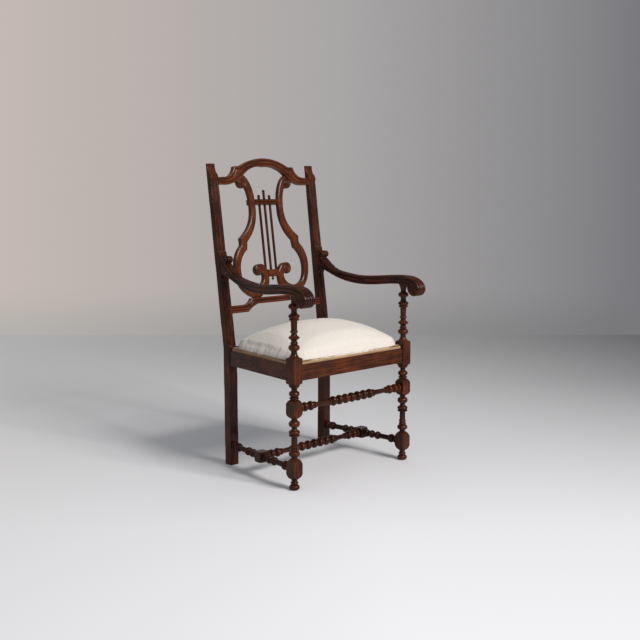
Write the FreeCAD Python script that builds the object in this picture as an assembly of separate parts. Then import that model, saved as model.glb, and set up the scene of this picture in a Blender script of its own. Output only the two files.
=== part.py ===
import FreeCAD, Part
import math
import os
from FreeCAD import Placement, Rotation, Vector

# Lyre back armchair. X runs to the viewer's right, Y from the front to the back, Z up.
# While it is being built, Y is zero at the axis of the front legs. All sizes are in millimetres.

# Seat height and spacing of the legs
SEAT_RAIL_TOP = 410.0
FRONT_LEG_SPACING = 520.0
REAR_LEG_SPACING = 455.0
LEG_DEPTH_SPACING = 375.0

# Stock sizes
FRONT_LEG_STOCK = 38.0
REAR_LEG_WIDTH = 35.0
REAR_LEG_DEPTH = 33.5
STILE_TOP_DEPTH = 23.0
STILE_LENGTH = 662.0
BACK_RAKE = 8.4
STILE_SPLAY = 0.49

# Front leg: heights of its blocks
FOOT_HEIGHT = 35.0
LOWER_BLOCK_HEIGHT = 68.0
UPPER_BLOCK_FLOOR = 236.0
UPPER_BLOCK_HEIGHT = 61.0
BLOCK_SHOULDER = 19.0
UPPER_BLOCK_SHOULDER = 15.0
SEAT_BLOCK_BELOW_TOP = 62.0
SEAT_BLOCK_ABOVE_TOP = 23.0
SEAT_BLOCK_EASING = 3.0
ARM_TENON_RADIUS = 7.0
ARM_TENON_LENGTH = 18.0

# Radii that the turnings share
TURNED_RADIUS = 18.5
NECK_RADIUS = 9.3
STRETCHER_RADIUS = 16.5
STRETCHER_NECK = 9.0
STRETCHER_TENON_RADIUS = 6.5
STRETCHER_TENON_LENGTH = 13.0
SIDE_STRETCHER_BLOCK = 36.0
SIDE_BLOCK_SHOULDER = 6.0

# Seat rails
SEAT_RAIL_HEIGHT = 52.0
SEAT_RAIL_THICKNESS = 22.0
SEAT_RAIL_SETBACK = 3.0
REBATE_WIDTH = 16.0
REBATE_DEPTH = 12.0
RAIL_TENON_THICKNESS = 9.0
RAIL_TENON_LENGTH = 14.0
RAIL_TENON_SHOULDER = 8.0

# Back panel, along the stiles from the top of the seat rails
CREST_THICKNESS = 20.0
CREST_SETBACK = 2.0
CREST_END_BELOW_CAP = 76.0
CREST_END_HEIGHT = 25.0
CREST_STEP_BELOW_CAP = 10.0
CREST_APEX_ABOVE_CAP = 21.0
CREST_BAND = 31.0
CREST_SHOULDER_X = 140.0
CREST_SWEEP = 30.0
CREST_ARCH_X = 115.0
CREST_CUSP_X = 98.8
CREST_CUSP_RISE = 36.0
LOWER_RAIL_BOTTOM = 128.0
LOWER_RAIL_HEIGHT = 27.0
LOWER_RAIL_RISE = 21.0
LOWER_STEP_X = 118.0
LOWER_SWEEP = 38.0
BACK_TENON_LENGTH = 14.0
BACK_TENON_THICKNESS = 8.0
BACK_TENON_SHOULDER = 5.0

# Lyre, with heights above its foot
LYRE_HALF_WIDTH = 172.0
LYRE_THICKNESS = 18.0
LYRE_SETBACK = 7.0
TOP_SCROLL_X = 109.0
TOP_SCROLL_BELOW_CUSP = 27.4
TOP_SCROLL_RADIUS = 18.6
BASE_SCROLL_X = 64.5
BASE_SCROLL_HEIGHT = 99.0
BASE_SCROLL_RADIUS = 21.5
LYRE_BLOCK_WIDTH = 48.0
LYRE_BLOCK_HEIGHT = 26.0
LYRE_BLOCK_TOP = 98.0
LYRE_BLOCK_THICKNESS = 21.0
PENDANT_DROP = 12.0
CROSSBAR_BOTTOM = 337.0
CROSSBAR_HEIGHT = 20.0
CROSSBAR_DEPTH = 25.0
CROSSBAR_REACH = 77.0
STRING_SETBACK = 22.0
STRING_RADIUS = 4.7
STRING_SPACING = 25.0
STRING_TENON = 10.0
PEG_NECK_RADIUS = 4.8
PEG_HEAD_RADIUS = 5.5
PEG_HEIGHT = 17.0
CENTRE_PEG_HEIGHT = 36.0
LYRE_DOWEL_RADIUS = 3.0
LYRE_DOWEL_DEPTH = 12.0

# Stile carving
STILE_CAP_HEIGHT = 15.0
STILE_CAP_SETBACK = 15.0
STILE_STEP_SETBACK = 8.0
STILE_STEP = 2.0
STILE_CARVING_LENGTH = 52.0
STILE_MOULDING_DEPTH = 3.5
STILE_BEAD_RADIUS = 8.0
STILE_MOULDING_STOP = 14.0

# Arms
ARM_TOP_AT_POST = 667.0
ARM_THICKNESS_AT_POST = 31.0
ARM_SCROLL_WIDTH = 41.0
ARM_REAR_WIDTH = 33.0
ARM_SCROLL_RADIUS = 26.0
ARM_SCROLL_REACH = 56.5
ARM_SCROLL_DROP = 43.5
ARM_OUTSET = 4.7
ARM_REAR_OUTSET = 2.7
ARM_JOINT_LOW = 264.0
ARM_JOINT_HIGH = 333.0
REAR_SCROLL_RADIUS = 13.0
ARM_REAR_TENON_LENGTH = 14.0
ARM_REAR_TENON_HEIGHT = 24.0
ARM_REAR_TENON_WIDTH = 12.0
ARM_HOLLOW_TO_STILE = 156.0
ARM_HOLLOW_DEPTH = 11.3
ARM_BELLY_TO_STILE = 185.0
ARM_BELLY_DEPTH = 10.8
ARM_UPSWEEP_TO_STILE = 91.0

# Drop-in seat
SEAT_GAP = 1.0
SEAT_REST_GAP = 0.3
COVER_THICKNESS = 1.5
SEAT_FRAME_THICKNESS = 18.0
SEAT_FRAME_WIDTH = 45.0
SEAT_FRAME_TONGUE = 15.0
SEAT_TONGUE_THICKNESS = 6.0
CUSHION_WALL = 29.5
CUSHION_CROWN = 76.0
CUSHION_FULLNESS_ACROSS = 2.85
CUSHION_FULLNESS_ALONG = 2.1
CUSHION_EDGE_FULLNESS = 8.0
CUSHION_LEAD = 0.066
CROWN_STEPS = 8
WEBBING_WIDTH = 50.0
WEBBING_THICKNESS = 1.5
CROSS_WEBS = 4
LONG_WEBS = 4
HESSIAN_THICKNESS = 0.8
DUST_COVER_THICKNESS = 0.5
DUST_COVER_INSET = 16.0
DUST_COVER_LEG_GAP = 6.0
TACK_EDGE = 6.0
TACK_END = 25.0
TACK_HEAD_RADIUS = 3.0
TACK_HEAD_THICKNESS = 0.8
TACK_SHANK_RADIUS = 0.8
TACK_LENGTH = 9.0
TACK_PITCH = 55.0

# Corner blocks and their screws
CORNER_BLOCK_LEG = 62.0
CORNER_BLOCK_HEIGHT = 30.0
CORNER_BLOCK_DROP = 3.0
SCREW_RADIUS = 2.2
SCREW_HEAD_RADIUS = 4.2
SCREW_HEAD_DEPTH = 2.6
SCREW_LENGTH = 30.0

# Places that follow from the sizes
FRONT_X = FRONT_LEG_SPACING / 2
REAR_X = REAR_LEG_SPACING / 2
HALF_STOCK = FRONT_LEG_STOCK / 2
STILE_FRONT = LEG_DEPTH_SPACING - REAR_LEG_DEPTH / 2
STILE_BACK = LEG_DEPTH_SPACING + REAR_LEG_DEPTH / 2
STILE_INNER = REAR_X - REAR_LEG_WIDTH / 2
SEAT_RAIL_BOTTOM = SEAT_RAIL_TOP - SEAT_RAIL_HEIGHT
SEAT_BLOCK_BOTTOM = SEAT_RAIL_TOP - SEAT_BLOCK_BELOW_TOP
SEAT_BLOCK_TOP = SEAT_RAIL_TOP + SEAT_BLOCK_ABOVE_TOP
SIDE_STRETCHER_Z = FOOT_HEIGHT + LOWER_BLOCK_HEIGHT / 2
FRONT_STRETCHER_Z = UPPER_BLOCK_FLOOR + UPPER_BLOCK_HEIGHT / 2
RAKE_SIN = math.sin(math.radians(BACK_RAKE))
RAKE_COS = math.cos(math.radians(BACK_RAKE))
SPLAY_TAN = math.tan(math.radians(STILE_SPLAY))
CREST_END_BOTTOM = STILE_LENGTH - CREST_END_BELOW_CAP
CREST_STEP_TOP = STILE_LENGTH - CREST_STEP_BELOW_CAP
CREST_APEX = STILE_LENGTH + CREST_APEX_ABOVE_CAP
CREST_CUSP_HEIGHT = CREST_END_BOTTOM + CREST_CUSP_RISE
LYRE_FOOT = LOWER_RAIL_BOTTOM + LOWER_RAIL_HEIGHT + LOWER_RAIL_RISE
LYRE_RISE = CREST_CUSP_HEIGHT - LYRE_FOOT
REACH_INSIDE = STILE_INNER - BACK_TENON_LENGTH
UP = Vector(0, 0, 1)
FAR = 2000.0


# Drawing helpers

def wire(*runs):
    """One closed wire. A run is [two points], ["arc", three points] or ["curve", points...]."""
    edges = []
    for run in runs:
        if run[0] == "arc":
            edges.append(Part.Arc(*run[1:]).toShape())
        elif run[0] == "curve":
            curve = Part.BSplineCurve()
            curve.interpolate(list(run[1:]))
            edges.append(curve.toShape())
        else:
            edges.extend(Part.makeLine(a, b) for a, b in zip(run, run[1:]))
    return Part.Wire(edges)


def prism(outline, travel):
    """Solid swept straight from a flat closed wire."""
    return Part.Face(outline).extrude(travel)


def box(x0, x1, y0, y1, z0, z1):
    """Solid between two corners."""
    return Part.makeBox(x1 - x0, y1 - y0, z1 - z0, Vector(x0, y0, z0))


def mirrored(shape):
    """The same piece for the other side of the chair."""
    return shape.mirror(Vector(0, 0, 0), Vector(1, 0, 0))


def plan_prism(points, z0, z1):
    """Upright prism over a plan given as (x, y) corners."""
    corners = [Vector(x, y, z0) for x, y in points]
    return prism(Part.makePolygon(corners + corners[:1]), Vector(0, 0, z1 - z0))


# Turning on a lathe

def start_radius(element):
    """Radius at which an element of a turning begins."""
    kind = element[0]
    if kind == "bead":
        return element[2] - 0.42 * element[1]
    return element[2]


def end_radius(element):
    """Radius at which an element of a turning ends."""
    if element[0] == "taper":
        return element[3]
    return start_radius(element)


def turning(elements, length):
    """Turned solid along +Z from the origin.

    bead: height, radius at its middle. ring: height, radius. taper: height, first and last radius.
    cove: height, radius at its waist. A height of None shares what is left of the length.
    """
    spare = length - sum(e[1] for e in elements if e[1] is not None)
    share = spare / max(sum(1 for e in elements if e[1] is None), 1)
    elements = [(e[0], share if e[1] is None else e[1]) + e[2:] for e in elements]
    z = 0.0
    points = [Vector(0, 0, 0)]
    edges = []

    def line_to(point):
        if (point - points[-1]).Length > 1e-6:
            edges.append(Part.makeLine(points[-1], point))
            points.append(point)

    for index, element in enumerate(elements):
        kind, height = element[:2]
        if kind == "cove":
            first = end_radius(elements[index - 1])
            last = start_radius(elements[index + 1])
        else:
            first = start_radius(element)
            last = end_radius(element)
        line_to(Vector(first, 0, z))
        end = Vector(last, 0, z + height)
        if kind in ("bead", "cove"):
            edges.append(Part.Arc(points[-1], Vector(element[2], 0, z + height / 2), end).toShape())
            points.append(end)
        else:
            line_to(end)
        z += height
    line_to(Vector(0, 0, z))
    line_to(Vector(0, 0, 0))
    return Part.Face(Part.Wire(edges)).revolve(Vector(0, 0, 0), UP, 360)


def both_ways(half, centre):
    """A symmetrical list of elements: half, its centre, and half reversed."""
    flipped = [e if e[0] != "taper" else ("taper", e[1], e[3], e[2]) for e in reversed(half)]
    return half + centre + flipped


def pommel(side, height, lower, upper, lower_waist, upper_waist):
    """Square block whose ends were rounded on the lathe: height of each shoulder and radius it ends in."""
    corner = side * math.sqrt(0.5) + 0.2
    lower_middle = lower_waist + (corner - lower_waist) * 0.62
    upper_middle = upper_waist + (corner - upper_waist) * 0.62
    outline = wire(
        [Vector(0, 0, 0), Vector(lower_waist, 0, 0)],
        ["arc", Vector(lower_waist, 0, 0), Vector(lower_middle, 0, lower * 0.36), Vector(corner, 0, lower)],
        [Vector(corner, 0, lower), Vector(corner, 0, height - upper)],
        ["arc", Vector(corner, 0, height - upper), Vector(upper_middle, 0, height - upper * 0.36),
         Vector(upper_waist, 0, height)],
        [Vector(upper_waist, 0, height), Vector(0, 0, height), Vector(0, 0, 0)])
    barrel = Part.Face(outline).revolve(Vector(0, 0, 0), UP, 360)
    return box(-side / 2, side / 2, -side / 2, side / 2, 0, height).common(barrel)


def raised(shape, z):
    """Copy lifted by z."""
    lifted = shape.copy()
    lifted.translate(Vector(0, 0, z))
    return lifted


def laid_between(shape, start, end):
    """Turning made along +Z, laid so that it runs from start towards end."""
    laid = shape.copy()
    laid.Placement = Placement(start, Rotation(UP, end - start)).multiply(laid.Placement)
    return laid


# Front legs

FOOT = [
    ("bead", 17.0, TURNED_RADIUS - 1.0),
    ("cove", 3.0, NECK_RADIUS + 1.5),
    ("bead", 6.5, NECK_RADIUS + 4.0),
    ("cove", 5.0, NECK_RADIUS),
    ("taper", None, NECK_RADIUS + 1.0, NECK_RADIUS + 1.0),
]
LOWER_TURNING = [
    ("taper", 2.5, NECK_RADIUS + 1.0, NECK_RADIUS + 1.0),
    ("cove", 4.0, NECK_RADIUS),
    ("bead", 19.0, TURNED_RADIUS),
    ("cove", 3.0, NECK_RADIUS + 1.0),
    ("ring", 3.5, NECK_RADIUS + 4.0),
    ("cove", 4.0, NECK_RADIUS + 0.5),
    ("bead", 7.0, NECK_RADIUS + 3.7),
    ("taper", None, NECK_RADIUS + 1.4, NECK_RADIUS + 0.6),
    ("cove", 3.0, NECK_RADIUS + 2.5),
    ("ring", 3.5, TURNED_RADIUS - 0.6),
    ("cove", 2.0, TURNED_RADIUS - 4.0),
    ("bead", 12.5, TURNED_RADIUS),
    ("cove", 10.0, NECK_RADIUS),
    ("bead", 23.0, TURNED_RADIUS),
    ("cove", 5.0, NECK_RADIUS + 0.4),
    ("taper", 2.0, NECK_RADIUS + 1.0, NECK_RADIUS + 1.0),
]
UPPER_TURNING = [
    ("taper", 2.0, NECK_RADIUS + 3.0, NECK_RADIUS + 3.0),
    ("bead", 5.0, TURNED_RADIUS - 2.5),
    ("cove", 2.5, NECK_RADIUS + 3.0),
    ("bead", None, TURNED_RADIUS - 1.0),
    ("cove", 12.0, NECK_RADIUS),
    ("bead", 7.0, TURNED_RADIUS - 1.5),
    ("ring", 4.0, TURNED_RADIUS),
]
POST_TURNING = [
    ("taper", 2.0, TURNED_RADIUS - 1.0, TURNED_RADIUS - 1.0),
    ("cove", 21.0, NECK_RADIUS + 1.2),
    ("bead", 20.0, TURNED_RADIUS),
    ("cove", 2.5, NECK_RADIUS + 1.5),
    ("ring", 4.0, NECK_RADIUS + 3.2),
    ("cove", 8.5, NECK_RADIUS),
    ("taper", 6.0, NECK_RADIUS + 2.5, TURNED_RADIUS),
    ("ring", 2.0, TURNED_RADIUS + 0.2),
    ("taper", 6.0, TURNED_RADIUS, NECK_RADIUS + 2.5),
    ("cove", 8.5, NECK_RADIUS),
    ("bead", 8.0, NECK_RADIUS + 3.5),
    ("taper", None, NECK_RADIUS + 0.4, NECK_RADIUS + 1.6),
    ("cove", 3.0, NECK_RADIUS + 3.2),
    ("ring", 4.0, TURNED_RADIUS - 2.2),
    ("cove", 2.0, TURNED_RADIUS - 4.5),
    ("bead", 13.0, TURNED_RADIUS),
    ("cove", 17.0, NECK_RADIUS),
    ("bead", 16.5, TURNED_RADIUS),
    ("cove", 11.0, NECK_RADIUS),
    ("taper", 18.0, NECK_RADIUS + 0.7, TURNED_RADIUS - 2.5),
    ("ring", 8.0, TURNED_RADIUS - 2.5),
]


def leg_block(height, shoulder):
    """Square block of a front leg between two turned lengths."""
    waist = NECK_RADIUS + 1.0
    return pommel(FRONT_LEG_STOCK, height, shoulder, shoulder, waist, waist)


def front_leg():
    """Right front leg, turned from one length of square stock, from its foot to the arm."""
    arm_underside = ARM_TOP_AT_POST - ARM_THICKNESS_AT_POST
    post_top = arm_underside + 8.0
    lower_top = FOOT_HEIGHT + LOWER_BLOCK_HEIGHT
    upper_top = UPPER_BLOCK_FLOOR + UPPER_BLOCK_HEIGHT
    stretches = [
        turning(FOOT, FOOT_HEIGHT),
        raised(leg_block(LOWER_BLOCK_HEIGHT, BLOCK_SHOULDER), FOOT_HEIGHT),
        raised(turning(LOWER_TURNING, UPPER_BLOCK_FLOOR - lower_top), lower_top),
        raised(leg_block(UPPER_BLOCK_HEIGHT, UPPER_BLOCK_SHOULDER), UPPER_BLOCK_FLOOR),
        raised(turning(UPPER_TURNING, SEAT_BLOCK_BOTTOM - upper_top), upper_top),
        raised(pommel(FRONT_LEG_STOCK, SEAT_BLOCK_TOP - SEAT_BLOCK_BOTTOM, SEAT_BLOCK_EASING,
                      SEAT_BLOCK_EASING, HALF_STOCK + 1.0, HALF_STOCK + 1.0), SEAT_BLOCK_BOTTOM),
        raised(turning(POST_TURNING, post_top - SEAT_BLOCK_TOP), SEAT_BLOCK_TOP),
    ]
    leg = stretches[0].multiFuse(stretches[1:])
    leg.translate(Vector(FRONT_X, 0, 0))
    return leg


def arm_tenon():
    """Round tenon at the top of the right front leg."""
    bottom = ARM_TOP_AT_POST - ARM_THICKNESS_AT_POST - 2.0
    length = ARM_TENON_LENGTH + 2.0
    return Part.makeCylinder(ARM_TENON_RADIUS, length, Vector(FRONT_X, 0, bottom))


# Raked back: panel coordinates are x, depth behind the stile face, and the height along the stile

def back_point(depth, height):
    """Point of the raked back, in the plane x = 0."""
    return Vector(0, STILE_FRONT + depth * RAKE_COS + height * RAKE_SIN,
                  SEAT_RAIL_TOP + height * RAKE_COS - depth * RAKE_SIN)


def raked(shape):
    """Panel piece drawn upright, leaned back with the stiles."""
    leaned = shape.copy()
    lean = Placement(Vector(0, STILE_FRONT, SEAT_RAIL_TOP), Rotation(Vector(1, 0, 0), -BACK_RAKE))
    leaned.Placement = lean.multiply(leaned.Placement)
    return leaned


def panel(outline_runs, depth, thickness):
    """Upright panel piece: runs of (x, height) points, swept through its thickness."""
    runs = []
    for run in outline_runs:
        tag = [run[0]] if isinstance(run[0], str) else []
        runs.append(tag + [Vector(x, depth, h) for x, h in run[len(tag):]])
    return prism(wire(*runs), Vector(0, thickness, 0))


def splayed(shape):
    """Piece of the right stile drawn upright, leaned outwards about the top of the seat rails."""
    leaned = shape.copy()
    leaned.rotate(Vector(REAR_X, 0, SEAT_RAIL_TOP), Vector(0, 1, 0), STILE_SPLAY)
    return leaned


def splay_at(z):
    """How far the splay moves the right rear leg outwards at a height above the floor."""
    return (z - SEAT_RAIL_TOP) * SPLAY_TAN


def leg_blank():
    """Right rear leg and stile before carving, sawn level at the floor."""
    top = STILE_LENGTH
    profile = wire(
        [Vector(0, STILE_FRONT, -REAR_LEG_DEPTH), Vector(0, STILE_FRONT, SEAT_RAIL_TOP), back_point(0, top),
         back_point(STILE_TOP_DEPTH, top), Vector(0, STILE_BACK, SEAT_RAIL_TOP),
         Vector(0, STILE_BACK, -REAR_LEG_DEPTH), Vector(0, STILE_FRONT, -REAR_LEG_DEPTH)])
    blank = prism(profile, Vector(REAR_LEG_WIDTH, 0, 0))
    blank.translate(Vector(STILE_INNER, 0, 0))
    return splayed(blank).common(box(-FAR, FAR, -FAR, FAR, 0, FAR))


def rear_leg(blank):
    """Right rear leg and stile in one piece, with its moulded face and carved top."""
    top = STILE_LENGTH
    cap = top - STILE_CAP_HEIGHT
    foot_of_carving = top - STILE_CARVING_LENGTH
    step = (cap + foot_of_carving) / 2
    arris = STILE_STEP_SETBACK + STILE_STEP
    over = top + 1.0
    carving = wire(
        [back_point(0, foot_of_carving), back_point(-1, foot_of_carving), back_point(-1, over),
         back_point(STILE_CAP_SETBACK, over), back_point(STILE_CAP_SETBACK, cap)],
        ["arc", back_point(STILE_CAP_SETBACK, cap), back_point(STILE_CAP_SETBACK - 1.5, (step + cap) / 2),
         back_point(arris, step)],
        [back_point(arris, step), back_point(STILE_STEP_SETBACK, step)],
        ["arc", back_point(STILE_STEP_SETBACK, step),
         back_point(STILE_STEP_SETBACK * 0.3, (foot_of_carving + step) / 2), back_point(0, foot_of_carving)])
    waste = prism(carving, Vector(REAR_LEG_WIDTH + 2, 0, 0))
    waste.translate(Vector(STILE_INNER - 1, 0, 0))
    arm_low = ARM_JOINT_LOW - STILE_MOULDING_STOP
    arm_high = ARM_JOINT_HIGH + STILE_MOULDING_STOP
    leg = blank.cut(splayed(waste))
    leg = leg.cut(splayed(stile_moulding(STILE_MOULDING_STOP, arm_low)))
    return leg.cut(splayed(stile_moulding(arm_high, foot_of_carving - STILE_MOULDING_STOP / 2)))


def stile_moulding(low, high):
    """What is planed off the face of the right stile to leave a bead between two flats."""
    length = high - low
    waste = box(STILE_INNER - 1, STILE_INNER + REAR_LEG_WIDTH + 1, -1, STILE_MOULDING_DEPTH, low, high)
    bead_depth = STILE_BEAD_RADIUS
    bead = Part.makeCylinder(STILE_BEAD_RADIUS, length, Vector(REAR_X, bead_depth, low))
    keep = box(REAR_X - STILE_BEAD_RADIUS, REAR_X + STILE_BEAD_RADIUS, -1, bead_depth, low, high)
    return raked(waste.cut(keep).fuse(waste.common(keep).cut(bead)))


def between_stiles(body, blank, low, high):
    """Rail of the back with its ends cut to the splayed stiles, and its two tenons."""
    x = STILE_INNER + splay_at(back_point(0, low).z) + BACK_TENON_LENGTH
    middle = CREST_SETBACK + CREST_THICKNESS / 2
    tenon = raked(box(-x, x, middle - BACK_TENON_THICKNESS / 2, middle + BACK_TENON_THICKNESS / 2,
                      low + BACK_TENON_SHOULDER, high - BACK_TENON_SHOULDER))
    tenon = tenon.cut(box(-REACH_INSIDE, REACH_INSIDE, -FAR, FAR, 0, FAR))
    return raked(body).cut(blank).cut(mirrored(blank)).fuse(tenon)


def crest_rail(blank):
    """Arched top rail with a step at each side of the arch."""
    end_top = CREST_END_BOTTOM + CREST_END_HEIGHT
    inside_apex = CREST_APEX - CREST_BAND
    sweep_x = CREST_SHOULDER_X + CREST_SWEEP
    end = STILE_INNER + REAR_LEG_WIDTH / 2
    hollow = (CREST_STEP_TOP - end_top) * 0.30
    right = [
        [(end, CREST_END_BOTTOM), (end, end_top), (sweep_x + 20, end_top + 2)],
        ["arc", (sweep_x + 20, end_top + 2), (CREST_SHOULDER_X + 14, end_top + hollow + 3),
         (CREST_SHOULDER_X + 1, CREST_STEP_TOP - 4)],
        [(CREST_SHOULDER_X + 1, CREST_STEP_TOP - 4), (CREST_SHOULDER_X, CREST_STEP_TOP),
         (CREST_ARCH_X, CREST_STEP_TOP)],
    ]
    left = [reflect_run(run) for run in reversed(right)]
    under_right = [
        ["arc", (0, inside_apex), (62, inside_apex - 7), (CREST_CUSP_X, CREST_CUSP_HEIGHT)],
        ["arc", (CREST_CUSP_X, CREST_CUSP_HEIGHT), (CREST_SHOULDER_X - 10, CREST_END_BOTTOM + 14),
         (sweep_x, CREST_END_BOTTOM)],
        [(sweep_x, CREST_END_BOTTOM), (end, CREST_END_BOTTOM)],
    ]
    under_left = [reflect_run(run) for run in reversed(under_right)]
    arch = [["arc", (CREST_ARCH_X, CREST_STEP_TOP), (0, CREST_APEX), (-CREST_ARCH_X, CREST_STEP_TOP)]]
    body = panel(right + arch + left + under_left + under_right, CREST_SETBACK, CREST_THICKNESS)
    return between_stiles(body, blank, CREST_END_BOTTOM, end_top)


def reflect_run(run):
    """The same run on the other side, drawn the other way."""
    tag = [run[0]] if isinstance(run[0], str) else []
    return tag + [(-x, h) for x, h in reversed(run[len(tag):])]


def lower_back_rail(blank):
    """Rail under the lyre, raised in the middle."""
    bottom = LOWER_RAIL_BOTTOM
    end_top = bottom + LOWER_RAIL_HEIGHT
    top = end_top + LOWER_RAIL_RISE
    raised_bottom = bottom + LOWER_RAIL_RISE + 5
    sweep_x = LOWER_STEP_X + LOWER_SWEEP
    under_x = sweep_x - 18
    end = STILE_INNER + REAR_LEG_WIDTH / 2
    right = [
        [(end, bottom), (end, end_top), (sweep_x, end_top)],
        ["arc", (sweep_x, end_top), (LOWER_STEP_X + LOWER_SWEEP * 0.34, end_top + LOWER_RAIL_RISE * 0.32),
         (LOWER_STEP_X + 2, top - 4)],
        [(LOWER_STEP_X + 2, top - 4), (LOWER_STEP_X, top), (0, top)],
    ]
    left = [reflect_run(run) for run in reversed(right)]
    under_right = [
        [(0, raised_bottom), (LOWER_STEP_X - 27, raised_bottom)],
        ["arc", (LOWER_STEP_X - 27, raised_bottom), (LOWER_STEP_X - 4, raised_bottom - 9),
         (under_x, bottom)],
        [(under_x, bottom), (end, bottom)],
    ]
    under_left = [reflect_run(run) for run in reversed(under_right)]
    body = panel(right + left + under_left + under_right, CREST_SETBACK, CREST_THICKNESS)
    return between_stiles(body, blank, bottom, end_top)


# Lyre

def drawn(*points):
    """Points of the lyre's outline, from shares of its half width and of its height."""
    return [(x * LYRE_HALF_WIDTH, LYRE_FOOT + height * LYRE_RISE) for x, height in points]


def lyre_half(crest):
    """Right half of the lyre: top scroll, arm, shoulder, bowl, stem and base scroll in one band."""
    tx = TOP_SCROLL_X
    th = CREST_CUSP_HEIGHT - TOP_SCROLL_BELOW_CUSP
    bx = BASE_SCROLL_X
    bh = LYRE_FOOT + BASE_SCROLL_HEIGHT
    top_r = TOP_SCROLL_RADIUS
    base_r = BASE_SCROLL_RADIUS
    centre = LYRE_BLOCK_WIDTH / 2
    cusp = (CREST_CUSP_X, CREST_CUSP_HEIGHT)
    arm_inside = [cusp] + drawn((0.459, 0.957), (0.378, 0.895), (0.328, 0.809), (0.320, 0.726),
                                (0.341, 0.641), (0.424, 0.556), (0.634, 0.455))
    waist_inside = drawn((0.634, 0.455), (0.642, 0.424), (0.657, 0.391))
    bowl_inside = drawn((0.657, 0.391), (0.791, 0.339), (0.866, 0.265), (0.866, 0.193), (0.779, 0.112),
                        (0.616, 0.081), (0.453, 0.087), (0.320, 0.121), (0.282, 0.175))
    hook = bowl_inside[-1]
    neck = (centre, LYRE_FOOT + 0.197 * LYRE_RISE)
    stem = [neck] + drawn((0.137, 0.150), (0.163, 0.094), (0.262, 0.045), (0.407, 0.0))
    bowl_outside = drawn((0.581, 0.0), (0.767, 0.040), (0.919, 0.102), (1.0, 0.193), (1.0, 0.296),
                         (0.930, 0.370), (0.814, 0.424))
    waist_outside = drawn((0.814, 0.424), (0.799, 0.453), (0.814, 0.483))
    arm_outside = drawn((0.814, 0.483), (0.657, 0.535), (0.532, 0.598), (0.459, 0.675), (0.448, 0.749),
                        (0.465, 0.818), (0.535, 0.899))
    shoulder = arm_outside[-1]
    runs = [
        ["curve"] + arm_inside,
        ["arc"] + waist_inside,
        ["curve"] + bowl_inside,
        ["arc", hook, (bx - 9, bh - 13), (bx, bh - 9)],
        [(bx, bh - 9), (bx, bh - base_r + 1)],
        ["arc", (bx, bh - base_r + 1), (bx + base_r, bh), (bx, bh + base_r)],
        ["curve", (bx, bh + base_r), (41, bh + 15), (30, bh + 1), neck],
        ["curve"] + stem,
        [stem[-1], bowl_outside[0]],
        ["curve"] + bowl_outside,
        ["arc"] + waist_outside,
        ["curve"] + arm_outside,
        ["arc", shoulder, (tx + top_r * 0.8, th - top_r * 0.6), (tx + top_r, th)],
        ["arc", (tx + top_r, th), (tx + top_r * 0.72, th + top_r * 0.7), (tx + 1, th + top_r)],
        [(tx + 1, th + top_r), cusp],
    ]
    half = raked(panel(runs, LYRE_SETBACK, LYRE_THICKNESS))
    return half.cut(crest)


def lyre_block():
    """Small block between the base scrolls, with the turned drop under it."""
    middle = LYRE_SETBACK + LYRE_THICKNESS / 2
    top = LYRE_FOOT + LYRE_BLOCK_TOP
    bottom = top - LYRE_BLOCK_HEIGHT
    body = box(-LYRE_BLOCK_WIDTH / 2, LYRE_BLOCK_WIDTH / 2, LYRE_SETBACK, LYRE_SETBACK + LYRE_BLOCK_THICKNESS,
               bottom, top)
    drop = turning([("bead", 8.0, PEG_HEAD_RADIUS), ("cove", 2.0, 2.4), ("taper", None, 3.6, 5.0)], PENDANT_DROP)
    drop.translate(Vector(0, middle, bottom - PENDANT_DROP))
    return raked(body.fuse(drop))


def crossbar_top():
    """Height of the top of the crossbar along the stile."""
    return LYRE_FOOT + CROSSBAR_BOTTOM + CROSSBAR_HEIGHT


def lyre_crossbar():
    """Moulded bar between the arms of the lyre, lapped behind them, that carries the strings."""
    reach = CROSSBAR_REACH
    top = crossbar_top()
    bottom = top - CROSSBAR_HEIGHT
    waist = top - CROSSBAR_HEIGHT * 0.5
    front = LYRE_SETBACK + 1.5
    back = LYRE_SETBACK + CROSSBAR_DEPTH
    profile = wire(
        [Vector(-reach, front, bottom), Vector(-reach, back, bottom)],
        [Vector(-reach, back, bottom), Vector(-reach, back, top)],
        [Vector(-reach, back, top), Vector(-reach, front + 1, top)],
        ["arc", Vector(-reach, front + 1, top), Vector(-reach, front - 0.5, top - 4),
         Vector(-reach, front + 3, waist)],
        ["arc", Vector(-reach, front + 3, waist), Vector(-reach, front - 1.5, waist - 5),
         Vector(-reach, front, bottom)])
    return raked(prism(profile, Vector(2 * reach, 0, 0)))


def lyre_string(x, peg_height):
    """Turned rod that stands for a string, with its peg above the crossbar."""
    low = LYRE_FOOT + LYRE_BLOCK_TOP - STRING_TENON
    rod_top = crossbar_top()
    elements = [
        ("taper", rod_top - low, STRING_RADIUS, STRING_RADIUS),
        ("bead", 3.5, PEG_HEAD_RADIUS),
        ("taper", None, PEG_NECK_RADIUS, PEG_NECK_RADIUS),
        ("bead", 8.0, PEG_HEAD_RADIUS),
    ]
    rod = turning(elements, rod_top - low + peg_height)
    rod.translate(Vector(x, STRING_SETBACK, low))
    return raked(rod)


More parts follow.
